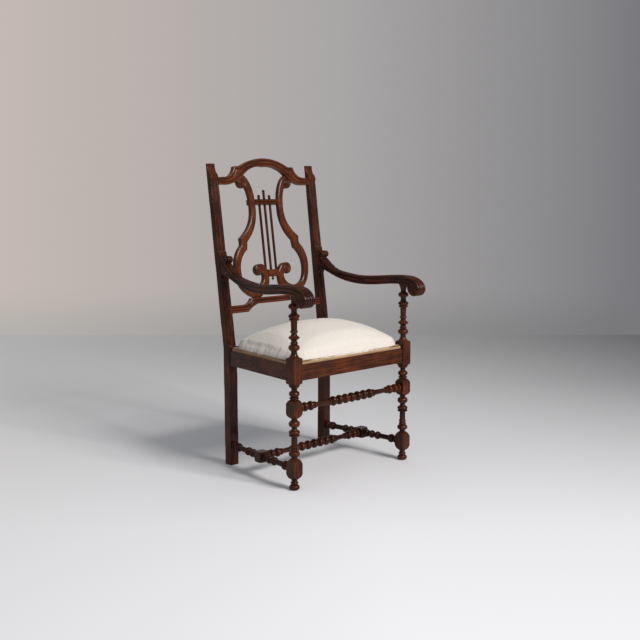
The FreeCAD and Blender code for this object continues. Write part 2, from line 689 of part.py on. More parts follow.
def lyre_dowels():
    """Dowels between the lyre and the rails above and below it."""
    middle = LYRE_SETBACK + LYRE_THICKNESS / 2
    dowels = []
    top = CREST_CUSP_HEIGHT - TOP_SCROLL_BELOW_CUSP + TOP_SCROLL_RADIUS
    for x, height in ((TOP_SCROLL_X - LYRE_DOWEL_RADIUS, top), (LYRE_HALF_WIDTH / 2, LYRE_FOOT)):
        start = Vector(x, middle, height - LYRE_DOWEL_DEPTH)
        dowel = raked(Part.makeCylinder(LYRE_DOWEL_RADIUS, 2 * LYRE_DOWEL_DEPTH, start))
        dowels += [dowel, mirrored(dowel)]
    return Part.makeCompound(dowels)


# Arms

def arm_centre(y):
    """Distance of the arm's centre line from the middle of the chair."""
    at_post = FRONT_X + ARM_OUTSET
    at_stile = REAR_X + ARM_REAR_OUTSET
    return at_post + (at_stile - at_post) * smooth((y / STILE_FRONT + 0.1) / 1.22)


def smooth(t):
    """Eased step from 0 to 1."""
    t = min(max(t, 0.0), 1.0)
    return t * t * (3 - 2 * t)


def arm_width(y):
    """Width of the arm, which swells towards the scroll."""
    return ARM_SCROLL_WIDTH + (ARM_REAR_WIDTH - ARM_SCROLL_WIDTH) * smooth((y + 40) / STILE_FRONT)


def arm_side_profile():
    """Side view of an arm: long hollow, crown over the post, scroll in front, small scroll behind."""
    rise = ARM_TOP_AT_POST
    under = ARM_TOP_AT_POST - ARM_THICKNESS_AT_POST
    scroll_y = -ARM_SCROLL_REACH
    scroll_z = ARM_TOP_AT_POST - ARM_SCROLL_DROP
    r = ARM_SCROLL_RADIUS
    rr = REAR_SCROLL_RADIUS
    high = back_point(0, ARM_JOINT_HIGH)
    low = back_point(0, ARM_JOINT_LOW)
    let_in = REAR_LEG_DEPTH / 4
    rear_y = high.y - 2 * rr
    rear_z = high.z - rr

    def p(y, z):
        return Vector(0, y, z)

    return wire(
        [low, back_point(let_in, ARM_JOINT_LOW), back_point(let_in, ARM_JOINT_HIGH), high, p(rear_y + 4, high.z)],
        ["arc", p(rear_y + 4, high.z), p(rear_y - rr + 3, rear_z), p(rear_y + 1, rear_z - rr + 1)],
        ["curve", p(rear_y + 1, rear_z - rr + 1), p(STILE_FRONT - 7.5, rise + 23.5), p(STILE_FRONT - 28, rise + 9.8),
         p(STILE_FRONT - 75, rise - 3.0), p(STILE_FRONT - ARM_HOLLOW_TO_STILE, rise - ARM_HOLLOW_DEPTH),
         p(STILE_FRONT * 0.33, rise - 7.2),
         p(0, rise), p(-30, rise - 2.4), p(scroll_y - 5, rise - 13), p(scroll_y - r, scroll_z + 6)],
        ["arc", p(scroll_y - r, scroll_z + 6), p(scroll_y - r * 0.7, scroll_z - r * 0.72),
         p(scroll_y, scroll_z - r)],
        ["arc", p(scroll_y, scroll_z - r), p(scroll_y + r * 0.8, scroll_z - r * 0.5),
         p(scroll_y + r, scroll_z + 9)],
        ["curve", p(scroll_y + r, scroll_z + 9), p(-14, under - 1), p(STILE_FRONT * 0.3, under - 7.2),
         p(STILE_FRONT - ARM_BELLY_TO_STILE, under - ARM_BELLY_DEPTH),
         p(STILE_FRONT - ARM_UPSWEEP_TO_STILE, under - 0.6), p(STILE_FRONT - 30, under + 18.3),
         p(STILE_FRONT + 6.5, under + 31.3), low])


def arm(blank):
    """Right arm, sawn to its side view and to its plan, and butted against its stile."""
    profile = arm_side_profile()
    slab = prism(profile, Vector(FAR / 4, 0, 0))
    stations = [STILE_FRONT * share for share in (-0.28, -0.11, 0.06, 0.25, 0.47, 0.7, 0.9, 1.3)]
    outer = [Vector(arm_centre(y) + arm_width(y) / 2, y, 0) for y in stations]
    inner = [Vector(arm_centre(y) - arm_width(y) / 2, y, 0) for y in reversed(stations)]
    plan = wire(["curve"] + outer, [outer[-1], inner[0]], ["curve"] + inner, [inner[-1], outer[0]])
    return slab.common(prism(plan, Vector(0, 0, FAR))).cut(blank)


def arm_rear_tenon():
    """Tenon that joins the right arm to its stile."""
    middle = (ARM_JOINT_LOW + ARM_JOINT_HIGH) / 2 - 8.0
    x = arm_centre(STILE_FRONT)
    return raked(box(x - ARM_REAR_TENON_WIDTH / 2, x + ARM_REAR_TENON_WIDTH / 2, -1, ARM_REAR_TENON_LENGTH,
                     middle - ARM_REAR_TENON_HEIGHT / 2, middle + ARM_REAR_TENON_HEIGHT / 2))


# Seat rails

FRONT_RAIL_FACE = -HALF_STOCK + SEAT_RAIL_SETBACK
SIDE_FACE_FRONT = Vector(FRONT_X + HALF_STOCK - SEAT_RAIL_SETBACK, HALF_STOCK, 0)
SIDE_FACE_REAR = Vector(REAR_X + REAR_LEG_WIDTH / 2 - SEAT_RAIL_SETBACK, STILE_FRONT, 0)
SIDE_ALONG = (SIDE_FACE_REAR - SIDE_FACE_FRONT).normalize()
SIDE_INWARD = Vector(-SIDE_ALONG.y, SIDE_ALONG.x, 0)
REAR_RAIL_BACK = STILE_BACK - SEAT_RAIL_SETBACK


def front_block(clearance=0.0):
    """Prism of the right front leg's block, with room round it."""
    reach = HALF_STOCK + clearance
    return box(FRONT_X - reach, FRONT_X + reach, -reach, reach, 0, FAR)


def rear_block(clearance=0.0):
    """Prism of the right rear leg below and above the seat, with room in front and inside."""
    return box(STILE_INNER - clearance, STILE_INNER + REAR_LEG_WIDTH + clearance,
               STILE_FRONT - clearance, STILE_BACK + 60.0, 0, FAR)


def side_plan(outside, inside, before, behind):
    """Plan of a strip along the right side rail, between two distances in from its face."""
    start = SIDE_FACE_FRONT - SIDE_ALONG * before
    end = SIDE_FACE_REAR + SIDE_ALONG * behind
    corners = [start + SIDE_INWARD * outside, end + SIDE_INWARD * outside,
               end + SIDE_INWARD * inside, start + SIDE_INWARD * inside]
    return [(c.x, c.y) for c in corners]


def side_rail(blank):
    """Right seat rail, rebated for the drop-in seat, with its two tenons."""
    body = plan_prism(side_plan(0, SEAT_RAIL_THICKNESS, 5, 5), SEAT_RAIL_BOTTOM, SEAT_RAIL_TOP)
    rebate = plan_prism(side_plan(SEAT_RAIL_THICKNESS - REBATE_WIDTH, SEAT_RAIL_THICKNESS + 5, 20, 20),
                        SEAT_RAIL_TOP - REBATE_DEPTH, SEAT_RAIL_TOP + 1)
    shoulders = body.cut(rebate).cut(front_block()).cut(blank)
    first = (SEAT_RAIL_THICKNESS - RAIL_TENON_THICKNESS) / 2
    tenon = plan_prism(side_plan(first, first + RAIL_TENON_THICKNESS, RAIL_TENON_LENGTH, RAIL_TENON_LENGTH),
                       SEAT_RAIL_BOTTOM + RAIL_TENON_SHOULDER,
                       SEAT_RAIL_TOP - REBATE_DEPTH - RAIL_TENON_SHOULDER / 2)
    return shoulders.fuse(tenon)


def cross_rail(half_length, leg, front, back, rebate_front, rebate_back):
    """Front or rear seat rail between its legs, with its rebate and tenons."""
    over = half_length + RAIL_TENON_LENGTH
    body = box(-over, over, front, back, SEAT_RAIL_BOTTOM, SEAT_RAIL_TOP).cut(leg).cut(mirrored(leg))
    rebate = box(-over, over, rebate_front, rebate_back, SEAT_RAIL_TOP - REBATE_DEPTH, SEAT_RAIL_TOP + 1)
    middle = (front + back) / 2
    tenon = box(-over, over, middle - RAIL_TENON_THICKNESS / 2, middle + RAIL_TENON_THICKNESS / 2,
                SEAT_RAIL_BOTTOM + RAIL_TENON_SHOULDER,
                SEAT_RAIL_TOP - REBATE_DEPTH - RAIL_TENON_SHOULDER / 2)
    return body.cut(rebate).fuse(tenon)


def front_rail():
    """Front seat rail."""
    back = FRONT_RAIL_FACE + SEAT_RAIL_THICKNESS
    return cross_rail(FRONT_X - HALF_STOCK, front_block(), FRONT_RAIL_FACE, back, back - REBATE_WIDTH, back + 1)


def rear_rail(blank):
    """Rear seat rail."""
    front = REAR_RAIL_BACK - SEAT_RAIL_THICKNESS
    return cross_rail(STILE_INNER, blank, front, REAR_RAIL_BACK, front - 1, front + REBATE_WIDTH)


# Corner blocks

def corner_block(front, leg):
    """Right corner block, glued inside two rails and cut round the leg."""
    top = SEAT_RAIL_TOP - REBATE_DEPTH - CORNER_BLOCK_DROP
    if front:
        corner_y = FRONT_RAIL_FACE + SEAT_RAIL_THICKNESS
        corner_x = side_inner_x(corner_y)
        plan = [(corner_x + 20, corner_y), (corner_x - CORNER_BLOCK_LEG, corner_y),
                (side_inner_x(corner_y + CORNER_BLOCK_LEG), corner_y + CORNER_BLOCK_LEG),
                (corner_x + 20, corner_y + CORNER_BLOCK_LEG)]
    else:
        corner_y = REAR_RAIL_BACK - SEAT_RAIL_THICKNESS
        corner_x = side_inner_x(corner_y)
        plan = [(corner_x + 20, corner_y), (corner_x - CORNER_BLOCK_LEG, corner_y),
                (side_inner_x(corner_y - CORNER_BLOCK_LEG), corner_y - CORNER_BLOCK_LEG),
                (corner_x + 20, corner_y - CORNER_BLOCK_LEG)]
    block = plan_prism(plan, top - CORNER_BLOCK_HEIGHT, top)
    side_strip = plan_prism(side_plan(-30, SEAT_RAIL_THICKNESS, 60, 60), 0, FAR)
    return block.cut(side_strip).cut(leg)


def side_inner_x(y):
    """Where the inner face of the right side rail lies at a given depth."""
    start = SIDE_FACE_FRONT + SIDE_INWARD * SEAT_RAIL_THICKNESS
    return start.x + (y - start.y) * SIDE_ALONG.x / SIDE_ALONG.y


def screw(point, direction):
    """Countersunk wood screw, head at the point, driven along the direction."""
    profile = wire([Vector(0, 0, 0), Vector(SCREW_HEAD_RADIUS, 0, 0), Vector(SCREW_RADIUS, 0, SCREW_HEAD_DEPTH),
                    Vector(SCREW_RADIUS, 0, SCREW_LENGTH - 5), Vector(0, 0, SCREW_LENGTH), Vector(0, 0, 0)])
    body = Part.Face(profile).revolve(Vector(0, 0, 0), UP, 360)
    return laid_between(body, point, point + direction)


def corner_screws():
    """Two screws through each corner block, one into each rail."""
    top = SEAT_RAIL_TOP - REBATE_DEPTH - CORNER_BLOCK_DROP
    z = top - CORNER_BLOCK_HEIGHT / 2
    screws = []
    front_y = FRONT_RAIL_FACE + SEAT_RAIL_THICKNESS
    rear_y = REAR_RAIL_BACK - SEAT_RAIL_THICKNESS
    for corner_y, inward in ((front_y, 1), (rear_y, -1)):
        corner_x = side_inner_x(corner_y)
        far_x = side_inner_x(corner_y + inward * CORNER_BLOCK_LEG)
        near = Vector(corner_x - CORNER_BLOCK_LEG, corner_y, z)
        far = Vector(far_x, corner_y + inward * CORNER_BLOCK_LEG, z)
        slope = far - near
        for share, direction in ((0.3, Vector(0, -inward, 0)), (0.7, Vector(1, 0, 0))):
            head = near + slope * share
            screws.append(screw(head, direction))
    return Part.makeCompound(screws + [mirrored(s) for s in screws])


# Stretchers

def stretcher_half(disc, shaft):
    """Elements of half a stretcher, from its end disc to the middle run of beads."""
    bead = STRETCHER_RADIUS
    neck = STRETCHER_NECK
    return [
        ("ring", 4.0, neck + 1.0),
        ("bead", 8.0, disc),
        ("cove", 5.0, neck),
        ("bead", 18.0, bead - 1.0),
        ("cove", 8.0, neck),
        ("bead", 18.0, bead - 1.0),
        ("cove", 6.0, neck),
        ("ring", 4.5, neck + 2.5),
        ("cove", 3.0, neck),
        ("taper", shaft, neck - 1.0, neck),
        ("cove", 3.0, neck + 1.0),
        ("ring", 4.5, neck + 3.5),
        ("cove", 5.0, neck),
    ]


def beaded_stretcher(length):
    """Turned stretcher along +Z with a run of seven beads in its middle and a tenon at each end."""
    half = stretcher_half(STRETCHER_RADIUS - 0.5, None)
    middle = [("bead", 20.0, STRETCHER_RADIUS)]
    for _ in range(6):
        middle += [("cove", 9.0, STRETCHER_NECK + 1.5), ("bead", 20.0, STRETCHER_RADIUS)]
    tenon = ("ring", STRETCHER_TENON_LENGTH, STRETCHER_TENON_RADIUS)
    elements = [tenon] + both_ways(half, middle) + [tenon]
    return turning(elements, length + 2 * STRETCHER_TENON_LENGTH)


def across(shape, half_length, y, z):
    """A stretcher laid along X, centred on the chair."""
    reach = half_length + STRETCHER_TENON_LENGTH
    return laid_between(shape, Vector(-reach, y, z), Vector(reach, y, z))


SIDE_AXIS_FRONT = Vector(FRONT_X, 0, SIDE_STRETCHER_Z)
SIDE_AXIS_REAR = Vector(REAR_X + splay_at(SIDE_STRETCHER_Z), LEG_DEPTH_SPACING, SIDE_STRETCHER_Z)
SIDE_AXIS = (SIDE_AXIS_REAR - SIDE_AXIS_FRONT).normalize()
SIDE_START = SIDE_AXIS_FRONT + SIDE_AXIS * (HALF_STOCK / SIDE_AXIS.y)
SIDE_END = SIDE_AXIS_FRONT + SIDE_AXIS * (STILE_FRONT / SIDE_AXIS.y)
SIDE_MIDDLE = (SIDE_START + SIDE_END) * 0.5


def side_stretcher():
    """Right side stretcher with the square block that takes the middle stretcher."""
    length = (SIDE_END - SIDE_START).Length
    half_block = SIDE_STRETCHER_BLOCK / 2
    neck = STRETCHER_NECK
    half = [
        ("ring", STRETCHER_TENON_LENGTH, STRETCHER_TENON_RADIUS),
        ("ring", 5.0, neck + 1.0),
        ("bead", 8.0, STRETCHER_RADIUS - 1.5),
        ("cove", 5.0, neck),
        ("bead", 24.0, STRETCHER_RADIUS - 1.0),
        ("cove", 8.0, neck),
        ("taper", None, neck, neck),
        ("bead", 19.0, STRETCHER_RADIUS - 2.0),
        ("cove", 8.0, neck),
        ("bead", 19.0, STRETCHER_RADIUS - 2.0),
        ("cove", 6.0, neck),
        ("bead", 9.0, STRETCHER_RADIUS - 3.0),
        ("taper", 8.0, neck + 1.0, neck + 2.0),
    ]
    arm_length = length / 2 - half_block + STRETCHER_TENON_LENGTH
    turned = turning(half, arm_length)
    block = pommel(SIDE_STRETCHER_BLOCK, SIDE_STRETCHER_BLOCK, SIDE_BLOCK_SHOULDER, SIDE_BLOCK_SHOULDER,
                   neck + 5.0, neck + 5.0)
    block.translate(Vector(0, 0, -half_block))
    rear_half = raised(turned.mirror(Vector(0, 0, 0), UP), length / 2 + STRETCHER_TENON_LENGTH)
    front_half = raised(turned, -length / 2 - STRETCHER_TENON_LENGTH)
    whole = block.multiFuse([rear_half, front_half])
    heading = Rotation(Vector(1, 0, 0), -90)
    turn = Rotation(UP, math.degrees(math.atan2(-SIDE_AXIS.x, SIDE_AXIS.y)))
    whole.Placement = Placement(SIDE_MIDDLE, turn.multiply(heading)).multiply(whole.Placement)
    return whole


def front_stretcher():
    """Stretcher between the upper blocks of the front legs."""
    half_length = FRONT_X - HALF_STOCK
    return across(beaded_stretcher(2 * half_length), half_length, 0, FRONT_STRETCHER_Z)


def middle_stretcher():
    """Stretcher between the blocks of the side stretchers."""
    half_length = SIDE_MIDDLE.x - SIDE_STRETCHER_BLOCK / 2 - 0.4
    return across(beaded_stretcher(2 * half_length), half_length, SIDE_MIDDLE.y, SIDE_STRETCHER_Z)


# Drop-in seat

SEAT_FRAME_BOTTOM = SEAT_RAIL_TOP - REBATE_DEPTH + SEAT_REST_GAP
SEAT_FRAME_TOP = SEAT_FRAME_BOTTOM + SEAT_FRAME_THICKNESS
SEAT_FRONT = FRONT_RAIL_FACE + SEAT_RAIL_THICKNESS - REBATE_WIDTH + SEAT_GAP
SEAT_BACK = REAR_RAIL_BACK - SEAT_RAIL_THICKNESS + REBATE_WIDTH - SEAT_GAP
SEAT_SIDE_IN = SEAT_RAIL_THICKNESS - REBATE_WIDTH + SEAT_GAP


def seat_half_width(y, inset=0.0):
    """Half the width of the drop-in seat at a given depth."""
    start = SIDE_FACE_FRONT + SIDE_INWARD * (SEAT_SIDE_IN + inset)
    return start.x + (y - start.y) * SIDE_ALONG.x / SIDE_ALONG.y


def seat_plan(inset):
    """Plan corners of the seat, before it is notched round the legs."""
    front = SEAT_FRONT + inset
    back = SEAT_BACK - inset
    return [(-seat_half_width(front, inset), front), (seat_half_width(front, inset), front),
            (seat_half_width(back, inset), back), (-seat_half_width(back, inset), back)]


def notched(shape, clearance):
    """Cut the four corners of the seat round the legs."""
    for block in (front_block(clearance), rear_block(clearance)):
        shape = shape.cut(block).cut(mirrored(block))
    return shape


def crown_height(across, along):
    """Height of the seat's cover over the rails; both shares run from -1 at one edge to 1 at the other."""
    lead = abs(along + CUSHION_LEAD * (1 - along ** 2))
    across = abs(across)
    along = abs(along)
    wall = (1 - across ** CUSHION_EDGE_FULLNESS) * (1 - along ** CUSHION_EDGE_FULLNESS)
    crown = (1 - across ** CUSHION_FULLNESS_ACROSS) * (1 - lead ** CUSHION_FULLNESS_ALONG)
    return CUSHION_WALL * wall + CUSHION_CROWN * crown


def pillow(inset, base, drop):
    """Crowned form of the seat: steep sides under a full, smooth crown."""
    turns = [i / CROWN_STEPS for i in range(-CROWN_STEPS, CROWN_STEPS + 1)]
    shares = [math.copysign(abs(math.sin(math.pi / 2 * t)) ** 0.6, t) for t in turns]
    middle = (SEAT_BACK + SEAT_FRONT) / 2
    half_depth = (SEAT_BACK - SEAT_FRONT) / 2 - inset
    grid = []
    for along in shares:
        y = middle + half_depth * along
        half_width = seat_half_width(y, inset)
        grid.append([Vector(half_width * across, y, SEAT_RAIL_TOP - drop + crown_height(across, along))
                     for across in shares])
    surface = Part.BSplineSurface()
    surface.interpolate(grid)
    column = surface.toShape().extrude(Vector(0, 0, base - SEAT_RAIL_TOP - CUSHION_WALL - CUSHION_CROWN))
    if not column.Solids:
        column = Part.makeSolid(column)
    return column.common(box(-FAR, FAR, -FAR, FAR, base, FAR))


def seat_frame_outline(inset, z0, z1):
    """Flat prism over the seat's notched plan."""
    return notched(plan_prism(seat_plan(inset), z0, z1), SEAT_GAP + COVER_THICKNESS)


def seat_frame_members():
    """Four members of the seat frame: long rails in front and behind, side rails tongued between."""
    whole = seat_frame_outline(COVER_THICKNESS, SEAT_FRAME_BOTTOM, SEAT_FRAME_TOP)
    front_edge = SEAT_FRONT + COVER_THICKNESS + SEAT_FRAME_WIDTH
    back_edge = SEAT_BACK - COVER_THICKNESS - SEAT_FRAME_WIDTH
    front = whole.common(box(-FAR, FAR, -FAR, front_edge, 0, FAR))
    rear = whole.common(box(-FAR, FAR, back_edge, FAR, 0, FAR))
    strip = [(x, y) for x, y in side_plan(SEAT_SIDE_IN + COVER_THICKNESS,
                                          SEAT_SIDE_IN + COVER_THICKNESS + SEAT_FRAME_WIDTH, 60, 60)]
    strip_solid = plan_prism(strip, SEAT_FRAME_BOTTOM, SEAT_FRAME_TOP)
    side = strip_solid.common(box(0, FAR, front_edge, back_edge, 0, FAR))
    tongue_low = SEAT_FRAME_BOTTOM + (SEAT_FRAME_THICKNESS - SEAT_TONGUE_THICKNESS) / 2
    inner_strip = plan_prism(side_plan(SEAT_SIDE_IN + COVER_THICKNESS + 8,
                                       SEAT_SIDE_IN + COVER_THICKNESS + SEAT_FRAME_WIDTH - 8, 60, 60),
                             tongue_low, tongue_low + SEAT_TONGUE_THICKNESS)
    tongues = inner_strip.common(box(0, FAR, front_edge - SEAT_FRAME_TONGUE, back_edge + SEAT_FRAME_TONGUE, 0, FAR))
    right = side.fuse(tongues)
    left = mirrored(right)
    front = front.cut(right).cut(left)
    rear = rear.cut(right).cut(left)
    return front, rear, left, right


def webs():
    """Jute webs over the frame: a lower layer from side to side, an upper one from front to back."""
    outline = seat_frame_outline(COVER_THICKNESS + 12, SEAT_FRAME_TOP, SEAT_FRAME_TOP + 2 * WEBBING_THICKNESS)
    middle = SEAT_FRAME_TOP + WEBBING_THICKNESS
    depth = SEAT_BACK - SEAT_FRONT - 2 * SEAT_FRAME_WIDTH
    cross = []
    for i in range(CROSS_WEBS):
        y = SEAT_FRONT + SEAT_FRAME_WIDTH + depth * (i + 0.5) / CROSS_WEBS
        strap = box(-FAR, FAR, y - WEBBING_WIDTH / 2, y + WEBBING_WIDTH / 2, SEAT_FRAME_TOP, middle)
        cross.append(outline.common(strap))
    width = 2 * (seat_half_width(SEAT_BACK) - SEAT_FRAME_WIDTH)
    lengthwise = []
    for i in range(LONG_WEBS):
        x = width * ((i + 0.5) / LONG_WEBS - 0.5)
        strap = box(x - WEBBING_WIDTH / 2, x + WEBBING_WIDTH / 2, -FAR, FAR, middle, middle + WEBBING_THICKNESS)
        lengthwise.append(outline.common(strap))
    return Part.makeCompound(cross), Part.makeCompound(lengthwise)


HESSIAN_BOTTOM = SEAT_FRAME_TOP + 2 * WEBBING_THICKNESS
STUFFING_BOTTOM = HESSIAN_BOTTOM + HESSIAN_THICKNESS


def seat_hessian():
    """Cloth over the webs that carries the stuffing."""
    return seat_frame_outline(COVER_THICKNESS + 3, HESSIAN_BOTTOM, STUFFING_BOTTOM)


def seat_stuffing():
    """Padding under the cover."""
    form = pillow(COVER_THICKNESS, SEAT_FRAME_BOTTOM, COVER_THICKNESS)
    core = notched(form, SEAT_GAP + COVER_THICKNESS)
    return core.common(box(-FAR, FAR, -FAR, FAR, STUFFING_BOTTOM, FAR))


def seat_cover(stuffing):
    """Woven cover over the stuffing and down the edges of the frame."""
    form = notched(pillow(0, SEAT_FRAME_BOTTOM, 0), SEAT_GAP)
    inside = seat_frame_outline(COVER_THICKNESS, SEAT_FRAME_BOTTOM - 1, STUFFING_BOTTOM)
    return form.cut(inside).cut(stuffing)


def dust_cover():
    """Black cloth under the seat frame."""
    sheet = plan_prism(seat_plan(DUST_COVER_INSET), SEAT_FRAME_BOTTOM - DUST_COVER_THICKNESS, SEAT_FRAME_BOTTOM)
    return notched(sheet, DUST_COVER_LEG_GAP)


def dust_cover_tacks():
    """Tacks that hold the dust cover to the frame, along the front and the back."""
    tacks = []
    head = SEAT_FRAME_BOTTOM - DUST_COVER_THICKNESS
    for y in (SEAT_FRONT + DUST_COVER_INSET + TACK_EDGE, SEAT_BACK - DUST_COVER_INSET - TACK_EDGE):
        reach = seat_half_width(y, DUST_COVER_INSET) - TACK_END
        count = max(int(2 * reach / TACK_PITCH), 1)
        for i in range(count + 1):
            x = -reach + 2 * reach * i / count
            shank = Part.makeCylinder(TACK_SHANK_RADIUS, TACK_LENGTH, Vector(x, y, head))
            disc = Part.makeCylinder(TACK_HEAD_RADIUS, TACK_HEAD_THICKNESS,
                                     Vector(x, y, head - TACK_HEAD_THICKNESS))
            tacks.append(disc.fuse(shank))
    return Part.makeCompound(tacks)


# Putting the chair together

def build():
    """All the pieces by name, each fitted to its neighbours."""
    nodes = {}
    blank = leg_blank()
    rails = {"front_seat_rail": front_rail(), "rear_seat_rail": rear_rail(blank),
             "side_seat_rail_right": side_rail(blank)}
    stretcher = front_stretcher()
    medial = middle_stretcher()
    side = side_stretcher()
    crest = crest_rail(blank)
    lower = lower_back_rail(blank)
    top_tenon = arm_tenon()
    rear_tenon = arm_rear_tenon()
    right_arm = arm(blank)
    dowels = lyre_dowels()
    screws = corner_screws()
    crossbar = lyre_crossbar()
    block = lyre_block()
    half = lyre_half(crest)
    strings = {"left": lyre_string(-STRING_SPACING, PEG_HEIGHT), "centre": lyre_string(0, CENTRE_PEG_HEIGHT),
               "right": lyre_string(STRING_SPACING, PEG_HEIGHT)}

    front = front_leg().cut(right_arm).fuse(top_tenon)
    for piece in (rails["front_seat_rail"], rails["side_seat_rail_right"], stretcher, side):
        front = front.cut(piece)
    rear = rear_leg(blank)
    for piece in (rails["rear_seat_rail"], rails["side_seat_rail_right"], side, crest, lower, rear_tenon):
        rear = rear.cut(piece)
    right_arm = right_arm.fuse(rear_tenon).cut(top_tenon)
    side = side.cut(medial)
    crossbar = crossbar.cut(half).cut(mirrored(half))
    half = half.cut(block).cut(dowels)
    for rod in strings.values():
        crossbar = crossbar.cut(rod)
        block = block.cut(rod)
        half = half.cut(rod)
    crest = crest.cut(dowels)
    lower = lower.cut(dowels)

    both = {"front_leg": front, "rear_leg": rear, "arm": right_arm, "side_stretcher": side, "lyre_half": half,
            "corner_block_front": corner_block(True, front_block()).cut(screws),
            "corner_block_rear": corner_block(False, blank).cut(screws),
            "side_seat_rail": rails["side_seat_rail_right"].cut(screws)}
    for name, shape in both.items():
        nodes[name + "_right"] = shape
        nodes[name + "_left"] = mirrored(shape)
    nodes["front_seat_rail"] = rails["front_seat_rail"].cut(screws)
    nodes["rear_seat_rail"] = rails["rear_seat_rail"].cut(screws)
    nodes["front_stretcher"] = stretcher
    nodes["middle_stretcher"] = medial
    nodes["crest_rail"] = crest
    nodes["lower_back_rail"] = lower
    nodes["lyre_block"] = block
    nodes["lyre_crossbar"] = crossbar
    for name, rod in strings.items():
        nodes["lyre_string_" + name] = rod
    nodes["lyre_dowels"] = dowels
    nodes["corner_block_screws"] = screws
    nodes.update(drop_in_seat())
    return nodes


def drop_in_seat():
    """The pieces of the seat that lifts out."""
    front, rear, left, right = seat_frame_members()
    tacks = dust_cover_tacks()
    cross, lengthwise = webs()
    stuffing = seat_stuffing()
    return {
        "seat_frame_front": front.cut(tacks),
        "seat_frame_rear": rear.cut(tacks),
        "seat_frame_left": left,
        "seat_frame_right": right,
        "seat_webs_cross": cross,
        "seat_webs_lengthwise": lengthwise,
        "seat_hessian": seat_hessian(),
        "seat_stuffing": stuffing,
        "seat_cover": seat_cover(stuffing),
        "seat_dust_cover": dust_cover().cut(tacks),
        "dust_cover_tacks": tacks,
    }


def main():
    """Write one file per piece, with the origin under the middle of the chair."""
    nodes = build()
    boxes = [shape.BoundBox for shape in nodes.values()]
    front = min(b.YMin for b in boxes)
    back = max(b.YMax for b in boxes)
    os.makedirs("parts", exist_ok=True)
    for name, shape in sorted(nodes.items()):
        shape.translate(Vector(0, -(front + back) / 2, 0))
        shape.exportStep("parts/" + name + ".step")
        print(name, "solids", len(shape.Solids), "volume", round(shape.Volume), "valid", shape.isValid())
    print("front", round(front, 2), "back", round(back, 2))


main()
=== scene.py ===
import math

import bmesh
import bpy
from bpy.props import FloatProperty, FloatVectorProperty, IntProperty, PointerProperty
from bpy.types import Operator, Panel, PropertyGroup
from mathutils import Matrix, Vector
from mathutils.kdtree import KDTree


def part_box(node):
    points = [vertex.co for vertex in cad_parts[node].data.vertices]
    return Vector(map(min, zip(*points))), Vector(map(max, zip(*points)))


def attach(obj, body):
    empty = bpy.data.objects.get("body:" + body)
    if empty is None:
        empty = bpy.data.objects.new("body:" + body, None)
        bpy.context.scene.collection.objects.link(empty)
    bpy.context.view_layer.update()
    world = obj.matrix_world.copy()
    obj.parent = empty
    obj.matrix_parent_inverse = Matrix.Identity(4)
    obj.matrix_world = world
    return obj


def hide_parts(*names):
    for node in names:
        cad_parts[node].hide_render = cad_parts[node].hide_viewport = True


bl_info = {
    "name": "Lyre back armchair",
    "version": (1, 0, 0),
    "blender": (4, 5, 0),
    "location": "3D View > Sidebar > Armchair",
    "description": "Carved wood, woven seat and studio for a lyre back armchair",
    "category": "Object",
}

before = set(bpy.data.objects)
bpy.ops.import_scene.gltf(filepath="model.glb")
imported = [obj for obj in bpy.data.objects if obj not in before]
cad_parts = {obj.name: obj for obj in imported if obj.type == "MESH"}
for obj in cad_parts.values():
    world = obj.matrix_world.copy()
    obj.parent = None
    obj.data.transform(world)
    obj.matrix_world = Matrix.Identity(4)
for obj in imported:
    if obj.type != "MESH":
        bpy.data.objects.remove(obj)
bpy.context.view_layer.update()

WOOD_BODY = "chair_frame"
SEAT_BODY = "slip_seat"

# How the back leans: its foot at the top of the seat rails, and its angles
RAKE = math.radians(8.4)
SPLAY = math.radians(0.49)
BACK_FRONT = Vector((0.0, -math.sin(math.pi / 2 + RAKE), math.sin(RAKE)))
BACK_UP = Vector((0.0, math.sin(RAKE), math.cos(RAKE)))
RAIL_TOP = 0.410
BACK_FOOT = Vector((0.0, 0.15999, RAIL_TOP))

# Volutes of the lyre on the panel, and of an arm seen from its side: place and radius
TOP_SCROLL = (0.109, 0.5946, 0.0186)
BASE_SCROLL = (0.0645, 0.275, 0.0215)
ARM_SCROLL = (-0.25476, 0.6235, 0.026)

# Plan of an arm: middle at the post and at the stile, widths, depth of the seat
ARM_AT_POST = 0.2647
ARM_AT_STILE = 0.2302
ARM_FRONT_WIDTH = 0.041
ARM_REAR_WIDTH = 0.033
POST_LINE = -0.19826
SEAT_DEPTH = 0.35825
STILE_X = 0.2275
STILE_BEAD = 0.0080

# Where the carving of a piece ends: half the clear width of the back, and the stile's end of an arm
BACK_HALF_WIDTH = 0.2075
ARM_CARVED_TO = 0.185

# Neck and crown radius of the turnings, and how much painted shade falls in their necks
LEG_TURNING = (0.0088, 0.0130, 0.5)
STRETCHER_TURNING = (0.0085, 0.0125, 0.5)
STRETCHER_SLOPE = 0.0945

# Cushion: height of the stuffing that is carried down beside the seat frame, and how far above the cover's
# underside it ends; how far the cover lies off the stuffing, and the steps in which it is blown up
STUFFING_FOOT = 0.0125
COVER_TURN_UNDER = 0.0017
SNUG = 0.0015
COVER_STEPS = 20

# Cover at the top of the rails: it swells from LIP_START up, and is drawn level in the band below that
LIP_START = RAIL_TOP - 0.0025
LIP_END = RAIL_TOP - 0.0075
LIP_LEVEL = RAIL_TOP - 0.0004
OVER_RAIL = RAIL_TOP + 0.0008

# How close to a leg the cover stays snug and where it is free, and how high above the stuffing's foot that counts
LEG_NEAR = 0.003
LEG_CLEAR = 0.014
LEG_HEIGHT = 0.05

# Stage: half the side of the floor and the wall, what the lamp points at, and the film's width in millimetres
STAGE_HALF = 3.5
LAMP_AIM = Vector((0, 0, 0.5))
FILM_WIDTH = 36.0


# Settings

